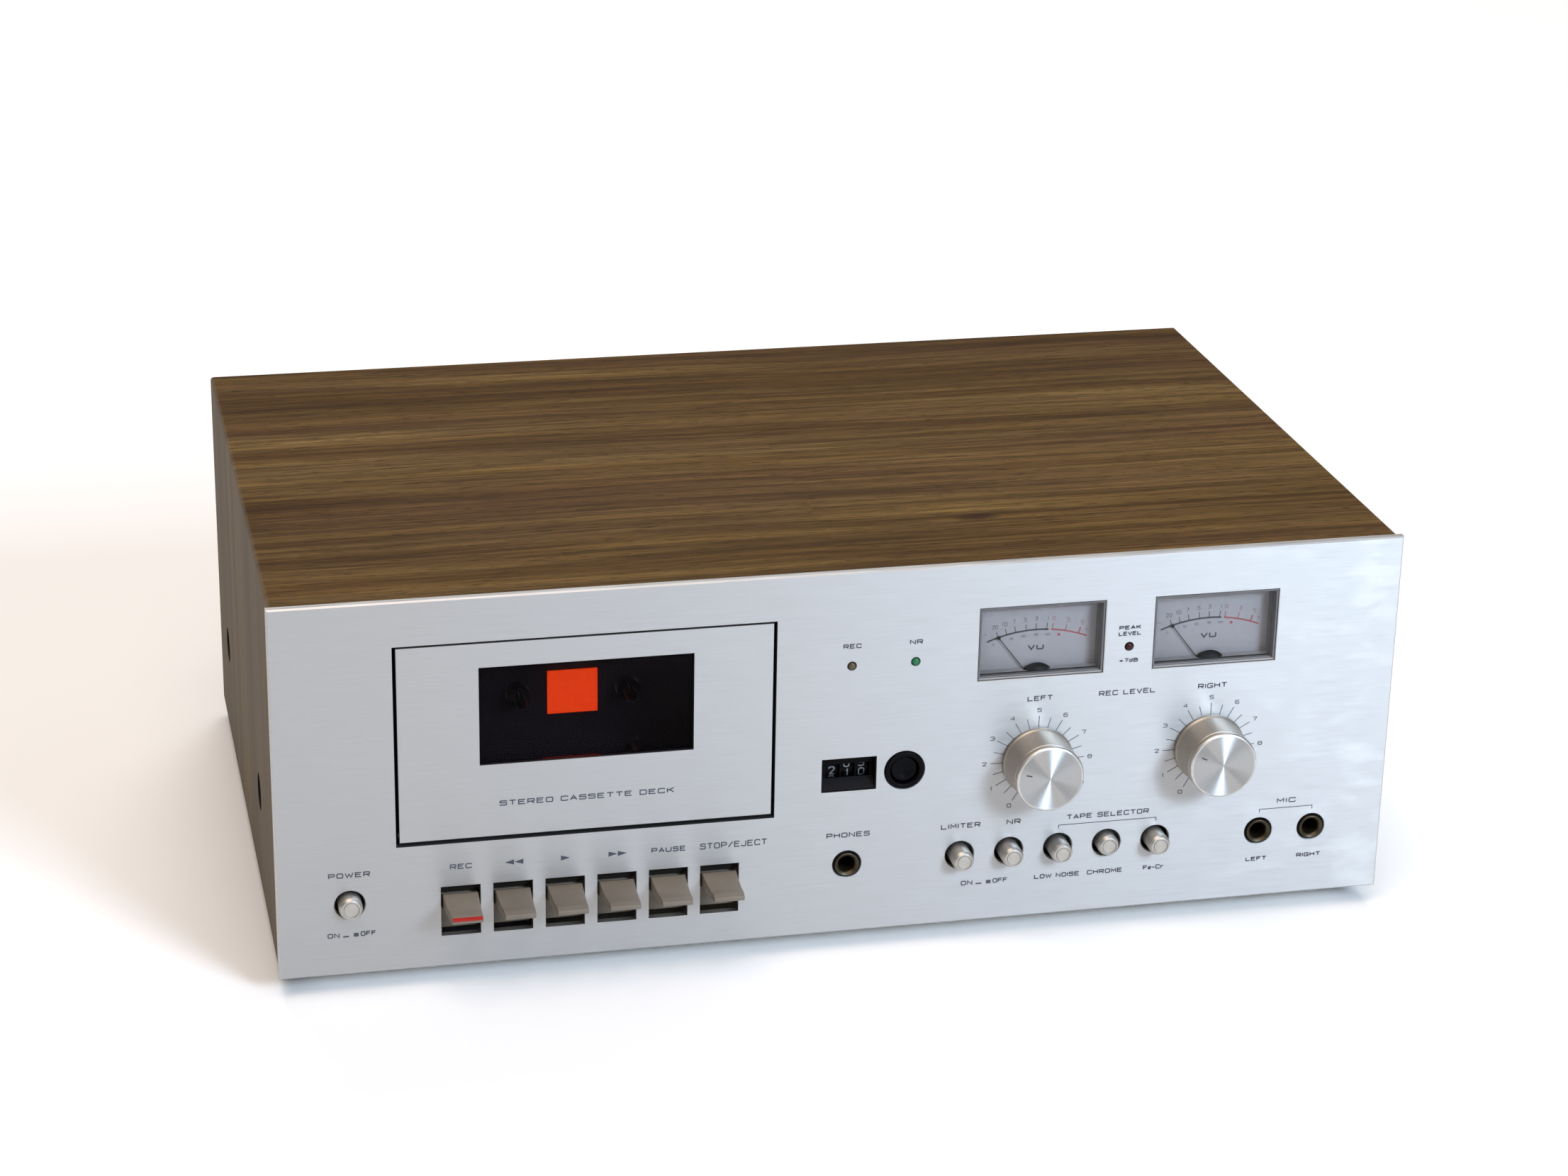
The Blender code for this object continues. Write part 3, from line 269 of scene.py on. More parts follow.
def placed(name, data, place=(0.0, 0.0, 0.0), turn=(0.0, 0.0, 0.0)):
    """An object of a mesh, a lamp or a camera, linked into the scene."""
    obj = bpy.data.objects.new(name, data)
    obj.location = place
    obj.rotation_euler = turn
    bpy.context.scene.collection.objects.link(obj)
    return obj


def piece(name, bm, materials, body="deck", replaces=(), origin=(0.0, 0.0, 0.0), sharp=35.0,
          sort=True):
    """Make a piece of a bmesh in the deck's measures, and let it ride on a body."""
    start = TO_ROW @ Vector(origin)
    bm = in_order(bm) if sort else bm
    bm.transform(Matrix.Translation(-start) @ TO_ROW)
    mesh = bpy.data.meshes.new(name)
    bm.to_mesh(mesh)
    bm.free()
    mesh.shade_smooth()
    mesh.set_sharp_from_angle(angle=math.radians(sharp))
    for material in materials if isinstance(materials, tuple) else [materials]:
        mesh.materials.append(material)
    obj = placed(name, mesh, start)
    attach(obj, body)
    if replaces:
        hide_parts(*replaces)


# ---------------------------------------------------------------- materials

# Places, half sizes and darkness of the two knots in the film's pattern, in metres in the row frame.
KNOTS = (((0.070, 0.052), (0.010, 0.0042), 0.75), ((0.128, -0.052), (0.009, 0.0034), 0.65))
# Where the panel's smudges start and where they are strongest, in metres from its middle.
SMUDGED_END = (0.120, 0.215)
ACRYLIC_IOR = 1.45


class Look:
    """A material under construction: a Principled shader and short ways to add nodes to it."""

    def __init__(self, name, colour, roughness, metallic=0.0, **sockets):
        self.material = bpy.data.materials.new(name)
        self.material.use_nodes = True
        self.tree = self.material.node_tree
        self.shader = self.tree.nodes["Principled BSDF"]
        self.set("Base Color", (*colour, 1.0))
        self.set("Roughness", roughness)
        self.set("Metallic", metallic)
        for socket, value in sockets.items():
            self.set(socket.replace("_", " "), value)

    def set(self, socket, value):
        """Give one of the shader's sockets a value or a link."""
        self.fill(self.shader.inputs[socket], value)

    def fill(self, socket, value):
        """Give a socket a value or a link."""
        if isinstance(value, bpy.types.NodeSocket):
            self.tree.links.new(value, socket)
        else:
            socket.default_value = value

    def add(self, kind, *values, out=0, **settings):
        """Add a node, fill its inputs in order, and return one of its outputs."""
        node = self.tree.nodes.new("ShaderNode" + kind)
        for name, value in settings.items():
            setattr(node, name, value)
        for socket, value in zip(node.inputs, values):
            if value is not None:
                self.fill(socket, value)
        return node.outputs[out]

    def axes(self):
        """Object coordinates in metres, as three numbers."""
        return self.add("SeparateXYZ", self.add("TexCoord", out="Object")).node.outputs

    def point(self, x, y=0.0, z=0.0):
        """Three numbers as one point."""
        return self.add("CombineXYZ", x, y, z)

    def noise(self, scale, detail=3.0, rough=0.5, source=None):
        """Noise from 0 to 1 with cells of about one over the scale, in each direction if it has three."""
        scales = scale if isinstance(scale, tuple) else (scale,) * 3
        place = self.add("Mapping", source or self.add("TexCoord", out="Object"), None, None, scales)
        return self.add("TexNoise", place, None, 1.0, detail, rough)

    def math(self, operation, first, second=0.0, third=0.0):
        """Work out one number from up to three."""
        return self.add("Math", first, second, third, operation=operation)

    def times(self, first, second):
        """The product of two numbers."""
        return self.math("MULTIPLY", first, second)

    def plus(self, first, second):
        """The sum of two numbers."""
        return self.math("ADD", first, second)

    def range(self, value, low, high, to_low=0.0, to_high=1.0):
        """Map a value from one range to another, and hold it there."""
        return self.add("MapRange", value, low, high, to_low, to_high)

    def ramp(self, value, *stops):
        """A colour ramp through (position, colour) stops."""
        node = self.add("ValToRGB", value).node
        elements = node.color_ramp.elements
        while len(elements) < len(stops):
            elements.new(0.5)
        for element, (position, colour) in zip(elements, stops):
            element.position = position
            element.color = (*colour, 1.0)
        return node.outputs[0]

    def mix(self, share, first, second, blend="MIX"):
        """Mix two colours."""
        node = self.add("Mix", share, data_type="RGBA", blend_type=blend).node
        for socket, value in zip(node.inputs[6:8], (first, second)):
            self.fill(socket, (*value, 1.0) if isinstance(value, tuple) else value)
        return node.outputs[2]

    def bump(self, height, distance, strength):
        """Raise the surface by a height from 0 to 1, over a distance in metres."""
        node = self.tree.nodes.new("ShaderNodeBump")
        for socket, value in (("Strength", strength), ("Distance", distance), ("Height", height)):
            self.fill(node.inputs[socket], value)
        self.set("Normal", node.outputs[0])

    def radius(self):
        """Distance in metres from the piece's own front-to-back axis."""
        x, _, z = self.axes()
        return self.math("SQRT", self.plus(self.times(x, x), self.times(z, z)))

    def vary(self, colour, spread, patches, grain, rough, depth, strength):
        """Vary the colour with one noise, and the roughness and the height with another."""
        low, high = (tuple(min(1.0, part * (1 + change)) for part in colour) for change in spread)
        self.set("Base Color", self.ramp(patches, (0.35, low), (0.65, high)))
        self.set("Roughness", self.range(grain, 0.3, 0.7, *rough))
        self.bump(grain, depth, strength)
        return self.material


def brushed_aluminium(name, bright, rough, brush):
    """Aluminium sheet brushed from side to side, with faint smudges towards its right end."""
    look = Look(name, (bright,) * 3, rough, 0.85, Anisotropic=brush)
    look.set("Tangent", look.point(0.0, 0.0, 1.0))
    fine = look.noise((28.0, 60.0, 3200.0), 2.0, 0.6)
    short = look.noise((55.0, 60.0, 1100.0), 3.0, 0.65)
    cloud = look.noise((9.0, 9.0, 14.0))
    right_end = look.range(look.axes()[0], *SMUDGED_END)
    smudge = look.times(right_end, look.range(look.noise((40.0, 40.0, 90.0), 4.0, 0.6), 0.50, 0.72))
    marks = look.plus(look.times(fine, 0.45), look.times(short, 0.55))
    stops = ((0.30, 0.94), (0.50, 1.0), (0.70, 1.05))
    tone = look.ramp(marks, *((at, (bright * part,) * 3) for at, part in stops))
    cloudy = (bright * 0.8, bright * 0.8, bright * 0.82)
    tone = look.mix(look.range(cloud, 0.3, 0.7, 0.0, 0.06), tone, cloudy)
    tone = look.mix(look.times(smudge, 0.30), tone, (0.55, 0.54, 0.50))
    look.set("Base Color", tone)
    rubbed = look.range(short, 0.3, 0.7, *about(rough, 0.03))
    look.set("Roughness", look.plus(rubbed, look.times(smudge, 0.10)))
    look.bump(marks, 0.00002, 0.10)
    return look.material


def walnut_vinyl():
    """Printed walnut film, wrapped over the top and down both sides so that its grain turns the corner."""
    look = Look("walnut_vinyl", (0.09, 0.05, 0.02), 0.6, Specular_IOR_Level=0.05)
    half = (CABINET[1].x - CABINET[0].x) / 2 * MM
    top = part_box("wood_cabinet")[1].z
    x, y, z = look.axes()
    along = look.plus(x, look.times(look.math("SIGN", x), look.math("SUBTRACT", top, z)))
    film = look.point(along, y)
    across = look.plus(y, look.times(look.noise((2.4, 6.0, 1.0), 2.0, source=film), 0.020))
    grain = look.point(look.plus(along, 1.37), look.plus(across, 0.83), 0.37)
    bands = look.noise((1.5, 46.0, 1.0), 4.0, 0.6, grain)
    streaks = look.noise((4.5, 260.0, 1.0), 4.0, 0.65, grain)
    hairs = look.noise((22.0, 1150.0, 1.0), 3.0, 0.6, grain)
    pores = look.noise((110.0, 1700.0, 1.0), 2.0, 0.5, grain)
    warmth = look.noise((3.0, 24.0, 1.0), 2.0, 0.5, grain)
    tone = look.ramp(bands, (0.30, (0.049, 0.025, 0.008)), (0.44, (0.075, 0.041, 0.013)),
                     (0.56, (0.107, 0.064, 0.022)), (0.70, (0.158, 0.102, 0.038)))
    tone = look.mix(look.range(warmth, 0.45, 0.70, 0.0, 0.35), tone, (0.092, 0.050, 0.030))
    for marks, *stops in (
            (streaks, (0.36, (0.60, 0.55, 0.50)), (0.50, (0.96, 0.95, 0.93)), (0.64, (1.30, 1.28, 1.20))),
            (hairs, (0.36, (0.66, 0.62, 0.58)), (0.52, (0.98, 0.98, 0.98)), (0.68, (1.24, 1.22, 1.15)))):
        tone = look.mix(0.9, tone, look.ramp(marks, *stops), "MULTIPLY")
    tone = look.mix(look.range(pores, 0.58, 0.64, 0.0, 0.65), tone, (0.020, 0.011, 0.005))
    for (at_x, at_y), (long, wide), strength in KNOTS:
        offsets = [look.math("DIVIDE", look.math("SUBTRACT", value, at), size)
                   for value, at, size in ((along, at_x, long), (y, at_y, wide))]
        square = look.plus(*(look.times(offset, offset) for offset in offsets))
        ripple = look.times(look.noise((260.0, 700.0, 1.0), 2.0, source=film), 0.8)
        spot = look.range(look.plus(square, ripple), 1.6, 0.5)
        tone = look.mix(look.times(spot, strength), tone, (0.018, 0.009, 0.005))
    # Painted sheen: the film on the two sides is mixed towards a lighter grey-brown to stand in for the
    # light that the sides catch; it is not the film's own colour.
    side = look.range(look.math("ABSOLUTE", x), half - 0.0015, half - 0.0003)
    tone = look.mix(look.times(side, 0.35), tone, (0.235, 0.215, 0.175))
    look.set("Base Color", tone)
    look.set("Roughness", look.range(streaks, 0.3, 0.7, 0.52, 0.68))
    look.bump(look.plus(look.times(hairs, 0.6), look.times(pores, -0.8)), 0.00005, 0.4)
    return look.material


def chipboard():
    """Raw particle board, as on the cabinet's back edge and inside."""
    look = Look("chipboard", (0.35, 0.22, 0.11), 0.85)
    chips = look.noise(420.0, 4.0, 0.7)
    flakes = look.noise((130.0, 130.0, 320.0), 3.0, 0.6)
    light = look.ramp(chips, (0.35, (0.16, 0.09, 0.045)), (0.65, (0.46, 0.32, 0.18)))
    dark = look.ramp(flakes, (0.4, (0.22, 0.13, 0.06)), (0.6, (0.40, 0.27, 0.14)))
    look.set("Base Color", look.mix(0.5, light, dark))
    look.bump(chips, 0.0003, 0.7)
    return look.material


def plastic(name, colour, rough, grain=900.0, depth=0.00003, specular=0.5, spread=0.12):
    """Moulded plastic or paint with a fine grain and a little variation of tone."""
    look = Look(name, colour, rough, Specular_IOR_Level=specular)
    return look.vary(colour, (-spread, spread), look.noise(35.0, 3.0, 0.6), look.noise(grain, 2.0),
                     about(rough, 0.05), depth, 0.4)


def ink(name, *colour, specular=0.5):
    """Flat printing ink."""
    return plastic(name, colour, 0.6, 2000.0, 0.000002, specular)


def metal(name, colour, rough, scale=300.0, spread=0.08):
    """Plain bare metal with fine marks."""
    look = Look(name, colour, rough, 1.0)
    marks = look.noise(scale, 3.0, 0.6)
    return look.vary(colour, (-spread, spread), marks, marks, (rough - 0.04, rough + 0.06), 0.00001, 0.3)


def turned_metal(name, colour, rough, brush, pitch=2600.0):
    """Lathe-turned metal whose fine grooves run round the piece's front-to-back axis."""
    look = Look(name, colour, rough, 1.0, Anisotropic=brush, Anisotropic_Rotation=0.25)
    look.set("Tangent", look.add("Tangent", direction_type="RADIAL", axis="Y"))
    grooves = look.noise((pitch, 1.0, 1.0), 3.0, 0.6, look.point(look.radius()))
    return look.vary(colour, (-0.07, 0.06), grooves, grooves, (rough - 0.03, rough + 0.04), 0.000006, 0.3)


def clear_sheet(name, tint, rough, gloss):
    """Thin clear or smoked sheet: it dims what is behind it and reflects at its face."""
    look = Look(name, tint, rough, Specular_IOR_Level=0.5)
    look.set("Roughness", look.range(look.noise(60.0, 2.0), 0.3, 0.7, rough, rough + 0.03))
    share = look.times(look.add("Fresnel", ACRYLIC_IOR), gloss)
    through = look.add("BsdfTransparent", (*tint, 1.0))
    glossy = look.tree.nodes.new("ShaderNodeBsdfGlossy")
    glossy.inputs["Roughness"].default_value = rough
    sheet = look.add("MixShader", share, through, glossy.outputs[0])
    look.fill(look.tree.nodes["Material Output"].inputs[0], sheet)
    return look.material


def lit(look, tone, strength):
    """Colour a surface, and let it shine a little with the same colour."""
    look.set("Base Color", tone)
    look.set("Emission Color", tone)
    look.set("Emission Strength", strength)
    return look.material


def orange_card():
    """Matte orange card that glows in its own colour: the glow is painted light, standing in for the light
    of the lamp that sits beside it.
    """
    look = Look("orange_card", (0.9, 0.09, 0.0), 0.7)
    fibre = look.noise(900.0, 3.0, 0.6)
    return lit(look, look.ramp(fibre, (0.35, (0.86, 0.052, 0.0)), (0.65, (0.95, 0.070, 0.0))), 1.35)


def lamp_lens(name, colour, glow):
    """Small tinted lens, a little lighter in its middle."""
    look = Look(name, colour, 0.25, Specular_IOR_Level=0.25)
    core = look.range(look.radius(), 0.0, 0.0015, 1.0, 0.0)
    return lit(look, look.mix(core, colour, tuple(part * 1.8 for part in colour)), glow)


def dial_paper():
    """Off-white meter card with a faint fibre."""
    look = Look("meter_card", (0.5, 0.5, 0.5), 0.7)
    fibre = look.noise(600.0, 3.0, 0.6)
    look.set("Base Color", look.ramp(fibre, (0.3, (0.282, 0.265, 0.268)), (0.7, (0.312, 0.293, 0.297))))
    look.bump(fibre, 0.00001, 0.3)
    return look.material


def circuit_board():
    """Phenolic board with copper tracks showing through."""
    look = Look("phenolic_board", (0.35, 0.22, 0.08), 0.6)
    tracks = look.math("PINGPONG", look.times(look.noise((160.0, 90.0, 1.0), 0.0), 6.0), 0.5)
    look.set("Base Color", look.ramp(tracks, (0.40, (0.32, 0.20, 0.08)), (0.60, (0.12, 0.16, 0.05))))
    return look.material


def laminations():
    """Stacked steel laminations."""
    look = Look("laminated_core", (0.3, 0.3, 0.3), 0.45, 0.8)
    sheets = look.noise((2.0, 1400.0, 2.0), 1.0)
    look.set("Base Color", look.ramp(sheets, (0.4, (0.16, 0.16, 0.16)), (0.6, (0.42, 0.42, 0.41))))
    look.bump(sheets, 0.0001, 0.5)
    return look.material


ALUMINIUM = brushed_aluminium("panel_aluminium", 0.42, 0.40, 0.80)
ALUMINIUM_EDGE = metal("panel_edge", (0.46, 0.46, 0.46), 0.42, (40.0, 900.0, 900.0))
WALNUT = walnut_vinyl()
CHIPBOARD = chipboard()
BLACK_PAINT = plastic("black_paint", (0.022, 0.022, 0.023), 0.55, 700.0, 0.00004)
WELL_BLACK = plastic("well_black", (0.010, 0.010, 0.011), 0.6, 700.0, 0.00003, 0.2)
BLACK_PLASTIC = plastic("black_plastic", (0.0020, 0.0020, 0.0028), 0.34, 900.0, 0.00001, 0.05)
GREY_PLASTIC = plastic("dark_grey_plastic", (0.004, 0.004, 0.006), 0.45, 900.0, 0.00001, 0.1)
# Greys of the meter liner, one moulding shown in lit and shaded copies: painted light on its floor, painted
# shade on its walls and front rim.
LIT_LIP_GREY = plastic("lit_lip_grey", (0.24, 0.235, 0.235), 0.5, 900.0, 0.00002, 0.3)
SHADED_WALL_GREY = plastic("shaded_wall_grey", (0.165, 0.162, 0.160), 0.5, 900.0, 0.00002, 0.2)
SHADED_EDGE_GREY = plastic("shaded_edge_grey", (0.115, 0.113, 0.115), 0.5, 900.0, 0.00002, 0.2)
# Matte black: the needle's and the head gaps' own colour, and also painted shade in the meter liner's
# groove, the cabinet's screw holes and the strip behind the keys.
BLACK_AND_SHADE = plastic("black_and_shade", (0.012, 0.010, 0.008), 0.8, 500.0, 0.00008, 0.1)
KEY_PLASTIC = plastic("key_plastic", (0.143, 0.120, 0.094), 0.52, 1100.0, 0.00004, 0.3, 0.10)
RED_PAINT = plastic("red_paint", (0.27, 0.007, 0.004), 0.5, 900.0, 0.00002, 0.2)
RUBBER = plastic("rubber", (0.028, 0.028, 0.028), 0.85, 500.0, 0.00006)
SCREW_BLACK = metal("screw_black", (0.10, 0.09, 0.08), 0.38)
ZINC = metal("zinc_plate", (0.62, 0.61, 0.56), 0.38, 90.0, 0.14)
STEEL = metal("machined_steel", (0.60, 0.60, 0.60), 0.30)
NICKEL = metal("nickel_plate", (0.70, 0.67, 0.60), 0.24)
WHITE_PLASTIC = plastic("white_plastic", (0.62, 0.61, 0.57), 0.4)
RED_PLASTIC = plastic("red_plastic", (0.36, 0.020, 0.016), 0.4)
PHENOLIC = plastic("phenolic_sheet", (0.075, 0.040, 0.022), 0.5, 700.0, 0.00003)
POLISHED = metal("polished_steel", (0.80, 0.80, 0.79), 0.10)
BUTTON_METAL = turned_metal("button_metal", (0.47, 0.45, 0.415), 0.46, 0.3)
KNOB_FACE = turned_metal("knob_face", (0.485, 0.49, 0.49), 0.45, 0.98)
KNOB_SIDE = turned_metal("knob_side", (0.46, 0.42, 0.37), 0.45, 0.2, 1800.0)
KNOB_RIM = metal("knob_rim", (0.58, 0.565, 0.54), 0.36)
BRASS = turned_metal("plated_brass", (0.070, 0.056, 0.036), 0.42, 0.2)
SMOKED = clear_sheet("smoked_acrylic", (0.66, 0.60, 0.66), 0.03, 0.09)
CLEAR = clear_sheet("clear_cover", (0.95, 0.96, 0.97), 0.03, 0.25)
ORANGE = orange_card()
LAMP_BROWN = lamp_lens("lamp_brown", (0.050, 0.038, 0.022), 0.03)
LAMP_GREEN = lamp_lens("lamp_green", (0.010, 0.072, 0.032), 0.25)
LAMP_RED = lamp_lens("lamp_red", (0.017, 0.002, 0.001), 0.08)
CARD = dial_paper()
INK = ink("legend_ink", 0.056, 0.060, 0.074, specular=0.2)
SCALE_INK = ink("scale_ink", 0.030, 0.030, 0.035)
SCALE_RED = ink("scale_red", 0.30, 0.060, 0.060)
FAINT_INK = ink("faint_ink", 0.125, 0.125, 0.130)
FAINT_RED = ink("faint_red", 0.29, 0.135, 0.135)
WHITE_INK = ink("white_ink", 0.50, 0.50, 0.50)
DIGIT_INK = ink("digit_ink", 0.155, 0.160, 0.170)
BOARD_BROWN = circuit_board()
LAMINATED = laminations()


# ---------------------------------------------------------------- legends

# Each glyph is a list of strokes, and each stroke a list of points xy on a grid 9 high and mostly 6 wide.
GLYPHS = {
    "A": "00 39 60, 13 53", "B": "05 55 59 09 00 60 65 55", "C": "67 69 09 00 60 62", "D": "00 09 69 60 00",
    "E": "69 09 00 60, 05 55", "F": "69 09 00, 05 55", "G": "67 69 09 00 60 64 34",
    "H": "00 09, 60 69, 05 65", "I": "00 09", "J": "59 50 00 02", "K": "00 09, 69 04, 26 60",
    "L": "09 00 60", "M": "00 09 33 69 60",
    "N": "00 09 60 69", "O": "00 09 69 60 00", "P": "00 09 69 64 04", "R": "00 09 69 64 04, 34 60",
    "S": "67 69 09 05 65 60 00 02", "T": "09 69, 39 30", "U": "09 00 60 69", "V": "09 30 69",
    "W": "09 20 47 60 89", "/": "00 59", "-": "04 44", "+": "04 64, 37 31",
    "0": "00 09 59 50 00", "1": "17 29 20", "2": "07 09 59 56 00 50", "3": "08 09 59 50 00 01, 25 55",
    "4": "40 49 03 53", "5": "59 09 05 55 50 00 01", "6": "58 59 09 00 50 55 05", "7": "09 59 20",
    "8": "00 09 59 50 00, 05 55", "9": "01 00 50 59 09 04 54", "d": "49 40 00 06 46",
    "e": "03 43 46 06 00 40", "r": "00 06 46",
}
ROUNDED = "BCDGJOPRSU0235689de"
SHARP_LEFT = "BDPR"
GRID_HIGH = 9.0
LETTER_GAP = 2.6
WORD_GAP = 8.0
INK_THICK = 0.05
ARROW_HIGH = 2.1


def rounded_path(points, radius, keep_left, closed):
    """Cut the corners of a path to curves; corners on the left edge can stay sharp."""
    left = min(point.x for point in points)
    path = []
    count = len(points)
    for index, point in enumerate(points):
        ends = not closed and index in (0, count - 1)
        if ends or (keep_left and point.x == left):
            path.append(point)
            continue
        before = points[index - 1] - point
        after = points[(index + 1) % count] - point
        first = point + before.normalized() * min(radius, before.length / 2)
        last = point + after.normalized() * min(radius, after.length / 2)
        path += [first, (first + last + point * 2) / 4, last]
    return path


def word_paths(text, x, height, thick):
    """The strokes of a word that fills a box, as (points, closed) pairs."""
    strokes = []
    cursor = 0.0
    for letter in text:
        if letter == " ":
            cursor += WORD_GAP - LETTER_GAP
            continue
        glyph = [[(float(point[0]), float(point[1])) for point in stroke.split()]
                 for stroke in GLYPHS[letter].split(", ")]
        wide = max(point[0] for stroke in glyph for point in stroke)
        strokes += [(letter, [(cursor + point[0], point[1]) for point in stroke]) for stroke in glyph]
        cursor += wide + LETTER_GAP
    total = max(cursor - LETTER_GAP, 0.001)
    scale = Vector(((x[1] - x[0] - thick) / total, (height[1] - height[0] - thick) / GRID_HIGH))
    start = Vector((x[0] + thick / 2, height[0] + thick / 2))
    paths = []
    for letter, stroke in strokes:
        points = [start + Vector((point[0] * scale.x, point[1] * scale.y)) for point in stroke]
        closed = stroke[0] == stroke[-1]
        if closed:
            points = points[:-1]
        if letter in ROUNDED:
            points = rounded_path(points, scale.y * 2.2, letter in SHARP_LEFT, closed)
        paths.append((points, closed))
    return paths


def fine_path(points, closed, step):
    """Add points along a path, no more than a step apart, so that it can be bent."""
    path = []
    ends = list(zip(points, points[1:] + points[:1] if closed else points[1:]))
    for first, last in ends:
        count = max(1, math.ceil((last - first).length / step))
        path += [first.lerp(last, part / count) for part in range(count)]
    return path if closed else path + [points[-1]]


def line(bm, points, closed, thick, place, index=0):
    """Draw a path as a raised line; place turns (x, height, out) into a point in the deck's measures."""
    count = len(points)
    rings = []
    for at, point in enumerate(points):
        ways = []
        if closed or at > 0:
            ways.append((point - points[at - 1]).normalized())
        if closed or at < count - 1:
            ways.append((points[(at + 1) % count] - point).normalized())
        along = sum(ways, Vector((0.0, 0.0)))
        along = along.normalized() if along.length > 0.1 else ways[0]
        mitre = min(1.0 / max(along.dot(ways[0]), 0.4), 1.8)
        side = Vector((-along.y, along.x)) * thick / 2 * mitre
        left, right = point + side, point - side
        section = ((left, INK_THICK), (right, INK_THICK), (right, 0.0), (left, 0.0))
        rings.append([place(*corner, out) for corner, out in section])
    merge(bm, made(loft, rings, closed), index)


def draw(bm, paths, thick, place, index=0):
    """Draw several (points, closed) paths."""
    for points, closed in paths:
        line(bm, points, closed, thick, place, index)


def print_at(depth):
    """What turns (x, height, out) into a point just in front of a depth."""
    return lambda across, up, out: Vector((across, depth - out, up))


def word(bm, text, x, height, depth=-0.01, index=0, thick=0.44):
    """Print a word between two values of x and of height, just in front of a depth."""
    draw(bm, word_paths(text, x, height, thick), thick, print_at(depth), index)


def centred_word(bm, text, x, width, low, cap, *values):
    """Print a word of a width and a cap height, centred on a value of x."""
    word(bm, text, about(x, width / 2), (low, low + cap), *values)


def shape(bm, outline, depth=-0.01, index=0):
    """Print a filled outline of (x, height) points."""
    merge(bm, made(extrude, outline, (depth - INK_THICK, depth)), index)


def bar(bm, start, end, thick, depth=-0.01, index=0):
    """Print a straight line between two (x, height) points."""
    line(bm, [Vector(start), Vector(end)], False, thick, print_at(depth), index)


def arrow(bm, tip, height, length):
    """Print a triangle with its tip at a value of x; a negative length points left."""
    low, high = about(height, ARROW_HIGH / 2)
    shape(bm, [(tip, height), (tip - length, high), (tip - length, low)])


def on_off(bm, x, low):
    """ON with a flat mark and OFF with a raised mark, as beside a latching button."""
    ends = [x[0] + (x[1] - x[0]) * share for share in (0.0, 0.25, 0.32, 0.44, 0.54, 0.64, 0.68)]
    word(bm, "ON", ends[:2], (low, low + 2.0))
    for left, right, rise in ((*ends[2:4], 0.6), (*ends[4:6], 1.5)):
        shape(bm, [(left, low), (right, low), (right, low + rise), (left, low + rise)])
    word(bm, "OFF", (ends[6], x[1]), (low, low + 2.0))


def bracket(bm, x, height):
    """A thin line with both ends turned down."""
    thick, drop = 0.28, 1.4
    bar(bm, (x[0], height), (x[1], height), thick)
    for end in x:
        bar(bm, (end, height + thick / 2), (end, height - drop), thick)


def level_dial(bm, knob):
    """Ticks and figures from 0 to 10 round a level control."""
    for step in range(21):
        turn = math.radians(-150 + 15 * step)
        long = step % 2 == 0
        inner, outer, figure = [(knob.x + math.sin(turn) * away, knob.z + math.cos(turn) * away)
                                for away in (14.0, 18.9 if long else 18.3, 21.3)]
        bar(bm, inner, outer, 0.26)
        if long:
            width = {2: 0.9, 20: 2.9}.get(step, 1.8)
            centred_word(bm, str(step // 2), figure[0], width, figure[1] - 0.85, 1.7, -0.01, 0, 0.28)


